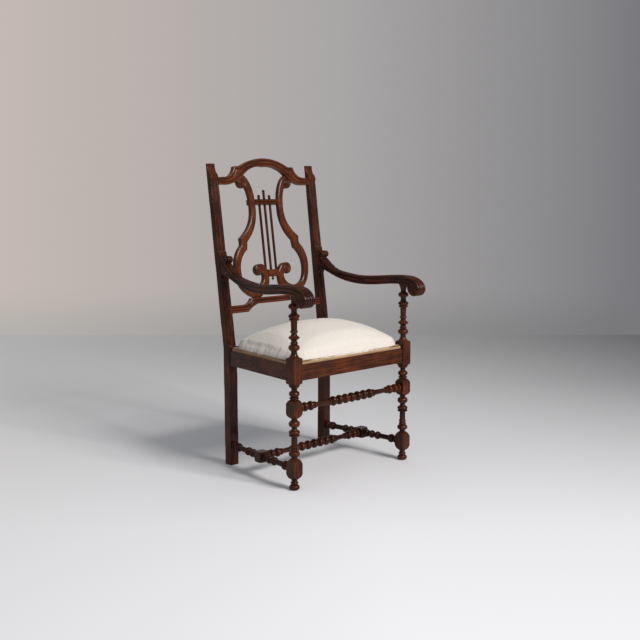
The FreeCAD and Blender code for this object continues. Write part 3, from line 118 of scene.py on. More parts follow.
class WoodFinish(PropertyGroup):
    """Stain and varnish of the frame."""
    worn: FloatVectorProperty(name="Worn colour", description="Stain where the wood is rubbed and lit",
                              subtype="COLOR", size=3, min=0, max=1, default=(0.118, 0.0265, 0.0062))
    stain: FloatVectorProperty(name="Stain colour", description="Stain over most of the frame",
                               subtype="COLOR", size=3, min=0, max=1, default=(0.022, 0.0056, 0.0024))
    # Groove colour: dark stain in the pores and grooves, and painted shade in the grooves and in the necks of turnings
    dark_stain_and_shade: FloatVectorProperty(name="Groove colour", description="Dark stain that stays in grooves and necks",
                              subtype="COLOR", size=3, min=0, max=1, default=(0.006, 0.0025, 0.002))
    grain_width: FloatProperty(name="Grain width", description="Width of a streak of grain",
                               subtype="DISTANCE", min=0.001, default=0.004)
    grain_length: FloatProperty(name="Grain length", description="Length of a streak of grain",
                                subtype="DISTANCE", min=0.01, default=0.09)
    bump: FloatProperty(name="Grain relief", description="How strongly the open grain shows in the varnish",
                        subtype="FACTOR", min=0, max=1, default=0.10)


class Carving(PropertyGroup):
    """Sizes of the carved mouldings."""
    skin: FloatProperty(name="Skin", description="Spacing of the carved skin's points",
                        subtype="DISTANCE", min=0.0008, default=0.0014)
    reed: FloatProperty(name="Edge reed", description="Width of the reed along each edge of a rail or an arm",
                        subtype="DISTANCE", min=0.002, default=0.0088)
    reed_depth: FloatProperty(name="Reed depth", description="Depth of the grooves beside a reed",
                              subtype="DISTANCE", default=0.0034)
    lyre_round: FloatProperty(name="Lyre rounding", description="How far in the edges of the lyre are rounded",
                              subtype="DISTANCE", min=0.001, default=0.0075)
    lyre_depth: FloatProperty(name="Lyre rounding depth", description="How much the edges of the lyre fall back",
                              subtype="DISTANCE", default=0.0030)
    volute: FloatProperty(name="Volute pitch", description="Distance between the turns of a volute's groove",
                          subtype="DISTANCE", min=0.002, default=0.0085)
    volute_depth: FloatProperty(name="Volute depth", description="Depth of a volute's groove",
                                subtype="DISTANCE", default=0.0032)
    arm_reeds: IntProperty(name="Arm reeds", description="Reeds side by side over the top of an arm",
                           min=2, default=4)
    arm_depth: FloatProperty(name="Arm groove depth", description="Depth of the grooves along the arms",
                             subtype="DISTANCE", default=0.0046)
    quirk_depth: FloatProperty(name="Stile groove depth", description="Depth of the groove each side of a stile's bead",
                               subtype="DISTANCE", default=0.0016)


class CoverFinish(PropertyGroup):
    """Woven cover and form of the seat."""
    cream: FloatVectorProperty(name="Loop colour", description="Colour of the loops of the cover",
                               subtype="COLOR", size=3, min=0, max=1, default=(0.79, 0.745, 0.69))
    shade: FloatVectorProperty(name="Gap colour", description="Colour between the loops",
                               subtype="COLOR", size=3, min=0, max=1, default=(0.60, 0.545, 0.48))
    loop: FloatProperty(name="Loop size", description="Spacing of the loops of the cover",
                        subtype="DISTANCE", min=0.001, default=0.0034)
    skin: FloatProperty(name="Skin", description="Spacing of the cushion's points while it is blown up",
                        subtype="DISTANCE", min=0.003, default=0.005)
    pressure: FloatProperty(name="Pressure", description="How hard the stuffing presses on the cover",
                            min=0, default=4.0)
    swell: FloatProperty(name="Most swelling", description="How far the stuffing may push a point of the cover",
                         subtype="DISTANCE", default=0.008)
    overhang: FloatProperty(name="Overhang", description="How far the cover bulges over the edge of the seat rails",
                            subtype="DISTANCE", default=0.0080)


class StudioSettings(PropertyGroup):
    """Camera, lights and floor."""
    lens: FloatProperty(name="Lens", description="Focal length of the camera in millimetres",
                        min=10, default=53.746)
    shift: FloatProperty(name="Shift", description="Shift of the lens, which keeps the uprights nearly parallel",
                         default=-0.0594)
    camera_place: FloatVectorProperty(name="Camera", description="Where the camera stands",
                                      subtype="TRANSLATION", size=3, default=(-2.2668, -2.4632, 0.9620))
    camera_heading: FloatProperty(name="Heading", description="Heading of the camera, clockwise from the back",
                                  subtype="ANGLE", default=math.radians(43.114))
    camera_tilt: FloatProperty(name="Tilt", description="How far the camera looks down",
                               subtype="ANGLE", default=math.radians(5.381))
    camera_roll: FloatProperty(name="Roll", description="Roll of the camera",
                               subtype="ANGLE", default=math.radians(-0.0197))
    floor: FloatVectorProperty(name="Floor colour", description="Colour of the floor in front of the chair",
                               subtype="COLOR", size=3, min=0, max=1, default=(0.79, 0.79, 0.815))
    # painted shade: the floor's colour where it meets the wall
    far_floor: FloatVectorProperty(name="Far floor colour", description="Colour of the floor at the wall",
                                   subtype="COLOR", size=3, min=0, max=1, default=(0.50, 0.495, 0.50))
    wall_distance: FloatProperty(name="Wall distance", description="How far the wall stands behind the chair",
                                 subtype="DISTANCE", min=1.0, default=3.05)
    key: FloatProperty(name="Key light", description="Power of the large lamp in front of the chair",
                       subtype="POWER", default=440.0)
    fill: FloatProperty(name="Room light", description="Strength of the light from all round",
                        min=0, default=0.40)


def settings(name):
    """One of the groups of settings on the scene."""
    return getattr(bpy.context.scene, name)


# Material building blocks

def add(tree, kind, values=None, links=None, **fields):
    """One node of a material: fields are its options, values its constants, links its incoming sockets."""
    node = tree.nodes.new(kind)
    for field, value in fields.items():
        setattr(node, field, value)
    for key, value in (values or {}).items():
        node.inputs[key].default_value = value
    for key, socket in (links or {}).items():
        tree.links.new(socket, node.inputs[key])
    return node


def new_group(name, inputs, outputs):
    """Empty shader node group with named sockets, and its two ends."""
    tree = bpy.data.node_groups.new(name, "ShaderNodeTree")
    for label, kind, value in inputs:
        socket = tree.interface.new_socket(label, in_out="INPUT", socket_type=kind)
        if value is not None:
            socket.default_value = value
    for label, kind in outputs:
        tree.interface.new_socket(label, in_out="OUTPUT", socket_type=kind)
    return tree, tree.nodes.new("NodeGroupInput"), tree.nodes.new("NodeGroupOutput")


def group_node(tree, group, values=None, links=None):
    """A node group placed in a material."""
    return add(tree, "ShaderNodeGroup", values, links, node_tree=bpy.data.node_groups[group])


def feed(tree, entry, value):
    """Give an input its value, which is a socket or a constant."""
    if isinstance(value, bpy.types.NodeSocket):
        tree.links.new(value, entry)
    else:
        entry.default_value = value


def mix(tree, factor, low, high):
    """Colour between two colours; each argument is a socket or a constant."""
    node = tree.nodes.new("ShaderNodeMix")
    node.data_type = "RGBA"
    for slot, value in ((0, factor), (6, low), (7, high)):
        feed(tree, node.inputs[slot], value)
    return node.outputs[2]


def ramp(tree, socket, low, high, first=0.0, last=1.0, course="LINEAR"):
    """Value remapped evenly from one range to another."""
    node = add(tree, "ShaderNodeMapRange", {1: low, 2: high, 3: first, 4: last}, {0: socket},
               interpolation_type=course)
    return node.outputs[0]


def span(tree, socket, low, high, first=0.0, last=1.0):
    """Value remapped smoothly from one range to another."""
    return ramp(tree, socket, low, high, first, last, "SMOOTHSTEP")


def maths(tree, operation, first, second=0.0):
    """One step of arithmetic; each argument is a socket or a constant."""
    node = tree.nodes.new("ShaderNodeMath")
    node.operation = operation
    for slot, value in ((0, first), (1, second)):
        feed(tree, node.inputs[slot], value)
    return node.outputs[0]


def make_grain_group():
    """Stained grain: streaks of two tones, patches of wear, dark stain and painted shade in the grooves and necks."""
    colour = "NodeSocketColor"
    tree, start, end = new_group(
        "Stained grain",
        [("Vector", "NodeSocketVector", None), ("Streaks", "NodeSocketVector", None),
         ("Worn", colour, None), ("Stain", colour, None), ("Soot", colour, None),
         ("Wear", "NodeSocketFloat", 0.5), ("Dirt", "NodeSocketFloat", 0.0)],
        [("Color", colour), ("Roughness", "NodeSocketFloat"), ("Height", "NodeSocketFloat")])
    streaks = add(tree, "ShaderNodeTexNoise", {"Scale": 1.0, "Detail": 5.0, "Roughness": 0.6, "Distortion": 0.25},
                  {"Vector": start.outputs["Streaks"]})
    figure = add(tree, "ShaderNodeTexNoise", {"Scale": 16.0, "Detail": 2.0, "Roughness": 0.5},
                 {"Vector": start.outputs["Vector"]})
    tone = maths(tree, "ADD", span(tree, streaks.outputs[0], 0.34, 0.68, -0.22, 0.26), start.outputs["Wear"])
    tone = maths(tree, "ADD", tone, span(tree, figure.outputs[0], 0.3, 0.7, -0.16, 0.16))
    wood = mix(tree, span(tree, tone, 0.0, 1.0), start.outputs["Stain"], start.outputs["Worn"])
    pore = span(tree, streaks.outputs[0], 0.30, 0.42, 0.75, 0.0)
    wood = mix(tree, maths(tree, "MULTIPLY", pore, 0.6), wood, start.outputs["Soot"])
    # painted shade and stain: the mask of grooves and necks pulls the colour to the groove colour
    wood = mix(tree, start.outputs["Dirt"], wood, start.outputs["Soot"])
    rough = span(tree, figure.outputs[0], 0.3, 0.7, 0.18, 0.28)
    rough = maths(tree, "ADD", rough, maths(tree, "MULTIPLY", start.outputs["Dirt"], 0.25))
    height = maths(tree, "SUBTRACT", streaks.outputs[0], maths(tree, "MULTIPLY", pore, 0.4))
    tree.links.new(wood, end.inputs["Color"])
    tree.links.new(rough, end.inputs["Roughness"])
    tree.links.new(height, end.inputs["Height"])


def make_turned_group():
    """Painted shade of a turning by how deep a point lies in it: 1 in its necks, 0 on the crowns of its beads."""
    tree, start, end = new_group(
        "Turned shade",
        [("Vector", "NodeSocketVector", None), ("Axis point", "NodeSocketVector", None),
         ("Axis", "NodeSocketVector", None), ("Neck", "NodeSocketFloat", 0.0105),
         ("Crown", "NodeSocketFloat", 0.0175)],
        [("Dirt", "NodeSocketFloat")])
    away = add(tree, "ShaderNodeVectorMath", operation="SUBTRACT",
               links={0: start.outputs["Vector"], 1: start.outputs["Axis point"]})
    across = add(tree, "ShaderNodeVectorMath", operation="CROSS_PRODUCT",
                 links={0: away.outputs[0], 1: start.outputs["Axis"]})
    radius = add(tree, "ShaderNodeVectorMath", operation="LENGTH", links={0: across.outputs[0]})
    shade = add(tree, "ShaderNodeMapRange", {3: 1.0, 4: 0.0},
                {0: radius.outputs["Value"], 1: start.outputs["Neck"], 2: start.outputs["Crown"]},
                interpolation_type="SMOOTHSTEP")
    tree.links.new(shade.outputs[0], end.inputs["Dirt"])


def make_weave_group():
    """Threads crossing over and under each other."""
    tree, start, end = new_group(
        "Plain weave",
        [("Vector", "NodeSocketVector", None), ("Thread", "NodeSocketColor", None),
         ("Gap", "NodeSocketColor", None), ("Threads per metre", "NodeSocketFloat", 500.0)],
        [("Color", "NodeSocketColor"), ("Height", "NodeSocketFloat")])
    split = add(tree, "ShaderNodeSeparateXYZ", links={0: start.outputs["Vector"]})
    angle = maths(tree, "MULTIPLY", start.outputs["Threads per metre"], math.pi)
    warp = maths(tree, "ABSOLUTE", maths(tree, "SINE", maths(tree, "MULTIPLY", split.outputs[0], angle)))
    weft = maths(tree, "ABSOLUTE", maths(tree, "SINE", maths(tree, "MULTIPLY", split.outputs[1], angle)))
    height = maths(tree, "MAXIMUM", warp, weft)
    slubs = add(tree, "ShaderNodeTexNoise", {"Scale": 90.0, "Detail": 3.0}, {"Vector": start.outputs["Vector"]})
    shade = maths(tree, "MULTIPLY", height, span(tree, slubs.outputs[0], 0.3, 0.7, 0.6, 1.0))
    tree.links.new(mix(tree, shade, start.outputs["Gap"], start.outputs["Thread"]), end.inputs["Color"])
    tree.links.new(height, end.inputs["Height"])


def make_loop_group():
    """Curled loops of a woolly cover."""
    tree, start, end = new_group(
        "Curled loops",
        [("Vector", "NodeSocketVector", None), ("Loop", "NodeSocketColor", None),
         ("Gap", "NodeSocketColor", None), ("Loops per metre", "NodeSocketFloat", 300.0)],
        [("Color", "NodeSocketColor"), ("Height", "NodeSocketFloat")])
    wander = add(tree, "ShaderNodeTexNoise", {"Scale": 160.0, "Detail": 2.0}, {"Vector": start.outputs["Vector"]})
    push = add(tree, "ShaderNodeVectorMath", {"Scale": 0.004}, {0: wander.outputs["Color"]}, operation="SCALE")
    place = add(tree, "ShaderNodeVectorMath", links={0: start.outputs["Vector"], 1: push.outputs[0]})
    cells = add(tree, "ShaderNodeTexVoronoi", {"Randomness": 0.9},
                {"Vector": place.outputs[0], "Scale": start.outputs["Loops per metre"]})
    curl = span(tree, cells.outputs["Distance"], 0.05, 0.62, 1.0, 0.0)
    patch = add(tree, "ShaderNodeTexNoise", {"Scale": 9.0, "Detail": 2.0}, {"Vector": start.outputs["Vector"]})
    shade = maths(tree, "MULTIPLY", span(tree, curl, 0.0, 0.8, 0.25, 1.0),
                  span(tree, patch.outputs[0], 0.3, 0.7, 0.88, 1.0))
    tree.links.new(mix(tree, shade, start.outputs["Gap"], start.outputs["Loop"]), end.inputs["Color"])
    tree.links.new(curl, end.inputs["Height"])


def new_material(name):
    """Empty procedural material: its tree, its shader and its object coordinates."""
    material = bpy.data.materials.new(name)
    material.use_nodes = True
    tree = material.node_tree
    tree.nodes.clear()
    output = tree.nodes.new("ShaderNodeOutputMaterial")
    shader = tree.nodes.new("ShaderNodeBsdfPrincipled")
    tree.links.new(shader.outputs[0], output.inputs["Surface"])
    place = tree.nodes.new("ShaderNodeTexCoord").outputs["Object"]
    return material, tree, shader, place


def relief(tree, shader, height, strength, distance):
    """Bump from a height that changes over the surface."""
    bump = add(tree, "ShaderNodeBump", {"Strength": strength, "Distance": distance}, {"Height": height})
    tree.links.new(bump.outputs[0], shader.inputs["Normal"])


def wood_material(name, along, wear, turned=None, turning=LEG_TURNING):
    """Varnished wood with its grain along an axis (0, 1 or 2); turned is the axis point and direction."""
    finish = settings("wood_finish")
    material, tree, shader, place = new_material(name)
    scale = [1 / finish.grain_width] * 3
    scale[along] = 1 / finish.grain_length
    streaks = add(tree, "ShaderNodeMapping", {"Scale": scale}, {"Vector": place})
    # groove layer of the carved pieces: painted shade and stain of their grooves
    groove = add(tree, "ShaderNodeAttribute", attribute_name="groove").outputs["Fac"]
    if turned:
        point, axis = turned
        neck, crown, neck_shade = turning
        # painted shade in the necks of the turning, joined with the groove layer
        shade = group_node(tree, "Turned shade",
                           {"Axis point": point, "Axis": axis, "Neck": neck, "Crown": crown}, {"Vector": place})
        groove = maths(tree, "MAXIMUM", groove, maths(tree, "MULTIPLY", shade.outputs[0], neck_shade))
    grain = group_node(tree, "Stained grain",
                       {"Worn": (*finish.worn, 1), "Stain": (*finish.stain, 1), "Soot": (*finish.dark_stain_and_shade, 1),
                        "Wear": wear},
                       {"Vector": place, "Streaks": streaks.outputs[0], "Dirt": groove})
    tree.links.new(grain.outputs["Color"], shader.inputs["Base Color"])
    tree.links.new(grain.outputs["Roughness"], shader.inputs["Roughness"])
    relief(tree, shader, grain.outputs["Height"], finish.bump, 0.0006)
    shader.inputs["Specular IOR Level"].default_value = 0.13
    shader.inputs["Coat Weight"].default_value = 0.08
    shader.inputs["Coat Roughness"].default_value = 0.14
    return material


def plain_wood_material(name, along):
    """Bare inner wood, planed and unstained."""
    material, tree, shader, place = new_material(name)
    scale = [260.0] * 3
    scale[along] = 9.0
    streaks = add(tree, "ShaderNodeMapping", {"Scale": scale}, {"Vector": place})
    grain = group_node(tree, "Stained grain",
                       {"Worn": (0.47, 0.31, 0.17, 1), "Stain": (0.30, 0.18, 0.09, 1),
                        "Soot": (0.14, 0.08, 0.04, 1), "Wear": 0.6, "Dirt": 0.0},
                       {"Vector": place, "Streaks": streaks.outputs[0]})
    tree.links.new(grain.outputs["Color"], shader.inputs["Base Color"])
    shader.inputs["Roughness"].default_value = 0.75
    relief(tree, shader, grain.outputs["Height"], 0.3, 0.0005)
    return material


def weave_material(name, thread, gap, threads, roughness):
    """Woven cloth or webbing."""
    material, tree, shader, place = new_material(name)
    weave = group_node(tree, "Plain weave", {"Thread": thread, "Gap": gap, "Threads per metre": threads},
                       {"Vector": place})
    tree.links.new(weave.outputs["Color"], shader.inputs["Base Color"])
    shader.inputs["Roughness"].default_value = roughness
    relief(tree, shader, weave.outputs["Height"], 0.5, 0.0006)
    return material


def cover_material():
    """Cream woolly cover of the seat."""
    finish = settings("cover_finish")
    material, tree, shader, place = new_material("Cream looped cover")
    loops = group_node(tree, "Curled loops",
                       {"Loop": (*finish.cream, 1), "Gap": (*finish.shade, 1), "Loops per metre": 1 / finish.loop},
                       {"Vector": place})
    tree.links.new(loops.outputs["Color"], shader.inputs["Base Color"])
    shader.inputs["Roughness"].default_value = 0.95
    shader.inputs["Sheen Weight"].default_value = 0.25
    shader.inputs["Sheen Roughness"].default_value = 0.6
    relief(tree, shader, loops.outputs["Height"], 0.7, 0.0015)
    return material


def steel_material():
    """Screws and tacks."""
    material, tree, shader, place = new_material("Dull steel")
    specks = add(tree, "ShaderNodeTexNoise", {"Scale": 700.0, "Detail": 4.0}, {"Vector": place})
    tree.links.new(mix(tree, specks.outputs[0], (0.22, 0.21, 0.2, 1), (0.5, 0.49, 0.47, 1)),
                   shader.inputs["Base Color"])
    tree.links.new(span(tree, specks.outputs[0], 0.3, 0.7, 0.3, 0.55), shader.inputs["Roughness"])
    shader.inputs["Metallic"].default_value = 1.0
    return material


def dress(node, material):
    """Give a CAD node its material."""
    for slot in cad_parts[node].material_slots:
        slot.material = material


# Carving helpers

def joined_copy(node, name):
    """Copy of a CAD node as a piece of its own, and its editable mesh with every seam merged."""
    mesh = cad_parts[node].data.copy()
    exact = bmesh.new()
    exact.from_mesh(mesh)
    bmesh.ops.remove_doubles(exact, verts=exact.verts, dist=1e-6)
    piece = bpy.data.objects.new(name, mesh)
    bpy.context.scene.collection.objects.link(piece)
    return piece, exact


def even_skin(piece, spacing):
    """Give a closed piece an even skin of points."""
    skin = piece.modifiers.new("Even skin", "REMESH")
    skin.mode = "VOXEL"
    skin.voxel_size = spacing
    apply_modifiers(piece)


def even_copy(node, name, spacing):
    """Closed copy of a CAD node with an even skin, and the copy of its exact edges to carve from."""
    piece, exact = joined_copy(node, name)
    exact.to_mesh(piece.data)
    even_skin(piece, spacing)
    return piece, exact


def apply_modifiers(piece):
    """Put the result of the modifiers into the piece's own mesh."""
    bpy.context.view_layer.update()
    seen = piece.evaluated_get(bpy.context.evaluated_depsgraph_get())
    old = piece.data
    new = bpy.data.meshes.new_from_object(seen)
    piece.modifiers.clear()
    piece.data = new
    new.name = piece.name
    bpy.data.meshes.remove(old)


def rim(exact, facing, keep):
    """Search tree over the edges where the faces that look one way end."""
    points = []
    for edge in exact.edges:
        if len(edge.link_faces) != 2:
            continue
        looks = sorted(face.normal.dot(facing) for face in edge.link_faces)
        if looks[1] > 0.93 and looks[0] < 0.75:
            a, b = (v.co for v in edge.verts)
            steps = max(int((b - a).length / 0.0008), 1)
            points += [a.lerp(b, i / steps) for i in range(steps + 1)]
    points = [p for p in points if keep(p)]
    tree = KDTree(len(points))
    for index, point in enumerate(points):
        tree.insert(point, index)
    tree.balance()
    return tree


def ease(value, low, high):
    """Smooth step from 0 at low to 1 at high."""
    t = min(max((value - low) / (high - low), 0.0), 1.0)
    return t * t * (3 - 2 * t)


def carve(bm, layer, facing, depth_at):
    """Sink the faces that look one way by the depth at each point, and note the painted shade and stain of the grooves.
    """
    for vert in bm.verts:
        share = ease(vert.normal.dot(facing), 0.45, 0.85)
        if share > 0:
            depth, dark = depth_at(vert.co)
            vert[layer] = max(vert[layer], dark * share)
            vert.co -= facing * depth * share


def carve_round(bm, layer, axis, depth_at):
    """Sink the faces that don't look along an axis, each along its own normal, and note the painted shade and stain of
    the grooves.
    """
    for vert in bm.verts:
        share = 1 - ease(abs(vert.normal.dot(axis)), 0.45, 0.75)
        if share > 0:
            depth, dark = depth_at(vert.co)
            vert[layer] = max(vert[layer], dark * share)
            vert.co -= vert.normal * depth * share


def reeds(distance, width, depth):
    """Depth of a reed along an edge, with a groove behind it and a round band beyond, and the painted shade and stain
    in its grooves.
    """
    if distance < width / 2:
        t = 0.7 * (1 - 2 * distance / width)
    elif distance < width:
        t = 2 * distance / width - 1
    else:
        t = max(1 - 1.4 * (distance - width) / width, 0.0)
    return depth * t * t, ease(t, 0.55, 0.95)


def volute(across, up, radius, sizes):
    """Depth of a spiral groove round a centre, and its painted shade and stain."""
    distance = math.hypot(across, up)
    if distance > radius:
        return 0.0, 0.0
    angle = (math.atan2(up, across) / (2 * math.pi)) % 1.0
    ring = (distance / sizes.volute - angle - 0.25) % 1.0
    near = min(ring, 1 - ring) * sizes.volute
    if distance < sizes.volute * 0.45:
        return 0.0, 0.0
    t = max(1 - near / 0.0021, 0.0)
    fade = 1 - ease(distance, radius * 0.85, radius)
    return sizes.volute_depth * t * fade, ease(t, 0.25, 0.8) * fade


def on_panel(point):
    """Distance from the middle and height along the stiles of a point of the back."""
    return point.x, (point - BACK_FOOT).dot(BACK_UP)


def finish_skin(piece, bm, nodes, body, material):
    """Write the carved mesh back and hand the piece over."""
    bmesh.ops.recalc_face_normals(bm, faces=bm.faces)
    bm.to_mesh(piece.data)
    bm.free()
    piece.data.shade_smooth()
    piece.data.materials.clear()
    piece.data.materials.append(material)
    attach(piece, body)
    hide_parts(*nodes)


def open_for_carving(piece):
    """Editable mesh of a piece with its groove layer for painted shade and stain, slightly smoothed."""
    bm = bmesh.new()
    bm.from_mesh(piece.data)
    bmesh.ops.smooth_vert(bm, verts=bm.verts, factor=0.5, use_axis_x=True, use_axis_y=True, use_axis_z=True)
    layer = bm.verts.layers.float.new("groove")
    bm.normal_update()
    return bm, layer


# Pieces

class CHAIR_OT_finish_wood(Operator):
    """Stain and varnish the legs, rails, stretchers and strings"""
    bl_idname = "chair.finish_wood"
    bl_label = "Varnished frame"

    def execute(self, context):
        make_grain_group()
        make_turned_group()
        upright = wood_material("Varnished wood, upright grain", 2, 0.30)
        cross = wood_material("Varnished wood, grain across", 0, 0.38)
        deep = wood_material("Varnished wood, grain front to back", 1, 0.30)
        for side in ("left", "right"):
            low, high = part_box("front_leg_" + side)
            axis = ((low.x + high.x) / 2, (low.y + high.y) / 2, 0.0)
            dress("front_leg_" + side, wood_material("Varnished wood, " + side + " front leg", 2, 0.34,
                                                     (axis, (0, 0, 1)), LEG_TURNING))
            dress("side_seat_rail_" + side, deep)
            low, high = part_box("side_stretcher_" + side)
            sign = 1 if side == "right" else -1
            slope = Vector((-sign * STRETCHER_SLOPE, 1, 0)).normalized()
            middle = Vector((sign * (abs(low.x) + abs(high.x)) / 2, (low.y + high.y) / 2, (low.z + high.z) / 2))
            dress("side_stretcher_" + side, wood_material("Varnished wood, " + side + " stretcher", 1, 0.2,
                                                          (middle, slope), STRETCHER_TURNING))
        for name in ("front_stretcher", "middle_stretcher"):
            low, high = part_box(name)
            middle = (low + high) / 2
            dress(name, wood_material("Varnished wood, " + name.replace("_", " "), 0, 0.3,
                                      (middle, (1, 0, 0)), STRETCHER_TURNING))
        for name in ("front_seat_rail", "rear_seat_rail", "lyre_crossbar", "lyre_block"):
            dress(name, cross)
        for name in ("lyre_string_left", "lyre_string_centre", "lyre_string_right", "lyre_dowels"):
            dress(name, upright)
        return {"FINISHED"}


class CHAIR_OT_finish_inside(Operator):
    """Finish the parts under the seat: bare wood, webs, cloth, screws and tacks"""
    bl_idname = "chair.finish_inside"
    bl_label = "Inside of the seat"

    def execute(self, context):
        make_weave_group()
        across = plain_wood_material("Bare wood, grain across", 0)
        along = plain_wood_material("Bare wood, grain front to back", 1)
        for name in ("seat_frame_front", "seat_frame_rear", "corner_block_front_left", "corner_block_front_right",
                     "corner_block_rear_left", "corner_block_rear_right"):
            dress(name, across)
        for name in ("seat_frame_left", "seat_frame_right"):
            dress(name, along)
        jute = weave_material("Jute webbing", (0.42, 0.30, 0.17, 1), (0.16, 0.10, 0.05, 1), 380.0, 0.9)
        dress("seat_webs_cross", jute)
        dress("seat_webs_lengthwise", jute)
        dress("seat_hessian", weave_material("Coarse hessian", (0.48, 0.36, 0.21, 1), (0.12, 0.08, 0.04, 1),
                                             300.0, 0.95))
        dress("seat_dust_cover", weave_material("Black lining", (0.022, 0.021, 0.022, 1), (0.006, 0.006, 0.007, 1),
                                                900.0, 0.9))
        steel = steel_material()
        dress("corner_block_screws", steel)
        dress("dust_cover_tacks", steel)
        return {"FINISHED"}


class CHAIR_OT_carve_rails(Operator):
    """Carve the reeds along the crest rail and the lower back rail"""
    bl_idname = "chair.carve_rails"
    bl_label = "Back rails"

    def execute(self, context):
        sizes = settings("carving")
        for node, wear in (("crest_rail", 0.55), ("lower_back_rail", 0.6)):
            piece, exact = even_copy(node, node + "_carved", sizes.skin)
            edges = rim(exact, BACK_FRONT, lambda p: abs(p.x) < BACK_HALF_WIDTH)
            exact.free()
            bm, layer = open_for_carving(piece)
            carve(bm, layer, BACK_FRONT, lambda p: reeds(edges.find(p)[2], sizes.reed, sizes.reed_depth))
            finish_skin(piece, bm, [node], WOOD_BODY,
                        wood_material("Carved wood, " + node.replace("_", " "), 0, wear))
        return {"FINISHED"}


class CHAIR_OT_carve_stiles(Operator):
    """Cut the grooves beside the bead of each stile"""
    bl_idname = "chair.carve_stiles"
    bl_label = "Rear legs"

    def execute(self, context):
        sizes = settings("carving")
        material = wood_material("Carved wood, rear legs", 2, 0.30)
        for side, sign in (("left", -1), ("right", 1)):
            node = "rear_leg_" + side
            piece, exact = even_copy(node, node + "_carved", sizes.skin * 1.3)
            exact.free()
            bm, layer = open_for_carving(piece)

            def quirks(point):
                up = (point - BACK_FOOT).dot(BACK_UP)
                across = abs(point.x - sign * (STILE_X + math.tan(SPLAY) * (point.z - RAIL_TOP)))
                t = max(1 - abs(across - STILE_BEAD - 0.0015) / 0.0030, 0.0)
                t *= ease(up, 0.345, 0.352) * (1 - ease(up, 0.600, 0.606))
                # painted shade and stain in the grooves beside the bead
                return sizes.quirk_depth * t, 0.9 * ease(t, 0.1, 0.8)

            carve(bm, layer, BACK_FRONT, quirks)
            finish_skin(piece, bm, [node], WOOD_BODY, material)
        return {"FINISHED"}


class CHAIR_OT_carve_lyre(Operator):
    """Round the edges of the lyre and cut its volutes"""
    bl_idname = "chair.carve_lyre"
    bl_label = "Lyre"

    def execute(self, context):
        sizes = settings("carving")
        material = wood_material("Carved wood, lyre", 2, 0.55)
        for side, sign in (("left", -1), ("right", 1)):
            node = "lyre_half_" + side
            piece, exact = even_copy(node, node + "_carved", sizes.skin)
            edges = rim(exact, BACK_FRONT, lambda p: True)
            exact.free()
            bm, layer = open_for_carving(piece)

            def band(point):
                distance = edges.find(point)[2]
                # painted shade on the rounded edges of the lyre, deepest at the very edge; painted shade and stain in
                # its volutes
                fall = max(1 - distance / sizes.lyre_round, 0.0) ** 2
                depth, dark = sizes.lyre_depth * fall, 0.45 * fall
                x, up = on_panel(point)
                for middle, height, radius in (TOP_SCROLL, BASE_SCROLL):
                    cut, shade = volute(sign * x - middle, up - height, radius, sizes)
                    depth, dark = max(depth, cut), max(dark, shade)
                return depth, dark

            carve(bm, layer, BACK_FRONT, band)
            finish_skin(piece, bm, [node], WOOD_BODY, material)
        return {"FINISHED"}


class CHAIR_OT_carve_arms(Operator):
    """Carve the reeds over the arms, the flutes along their sides and their volutes"""
    bl_idname = "chair.carve_arms"
    bl_label = "Arms"

    def execute(self, context):
        sizes = settings("carving")
        material = wood_material("Carved wood, arms", 1, 0.34)
        for side, sign in (("left", -1), ("right", 1)):
            node = "arm_" + side
            piece, exact = even_copy(node, node + "_carved", sizes.skin)
            outlines = [(facing, rim(exact, facing, lambda p: p.y < ARM_CARVED_TO))
                        for facing in (Vector((1, 0, 0)), Vector((-1, 0, 0)))]
            exact.free()
            bm, layer = open_for_carving(piece)

            def over(point):
                back = point.y - POST_LINE
                middle = ARM_AT_POST + (ARM_AT_STILE - ARM_AT_POST) * ease((back / SEAT_DEPTH + 0.1) / 1.22, 0, 1)
                width = ARM_FRONT_WIDTH + (ARM_REAR_WIDTH - ARM_FRONT_WIDTH) * ease((back + 0.04) / SEAT_DEPTH, 0, 1)
                share = (sign * point.x - middle) / width + 0.5
                crown = abs(2 * ((share * sizes.arm_reeds) % 1.0) - 1)
                # painted shade and stain in the grooves between the reeds
                return sizes.arm_depth * crown ** 2.4, ease(crown, 0.60, 0.88)

            carve_round(bm, layer, Vector((1, 0, 0)), over)
            bm.normal_update()
            for facing, edges in outlines:

                def side_cut(point):
                    depth, dark = reeds(edges.find(point)[2], sizes.reed, sizes.reed_depth)
                    middle, height, radius = ARM_SCROLL
                    away = math.hypot(point.y - middle, point.z - height)
                    if away < radius * 0.72:
                        depth, dark = volute(point.y - middle, point.z - height, radius * 0.72, sizes)
                    return depth, dark

                carve(bm, layer, facing, side_cut)
            finish_skin(piece, bm, [node], WOOD_BODY, material)
        return {"FINISHED"}


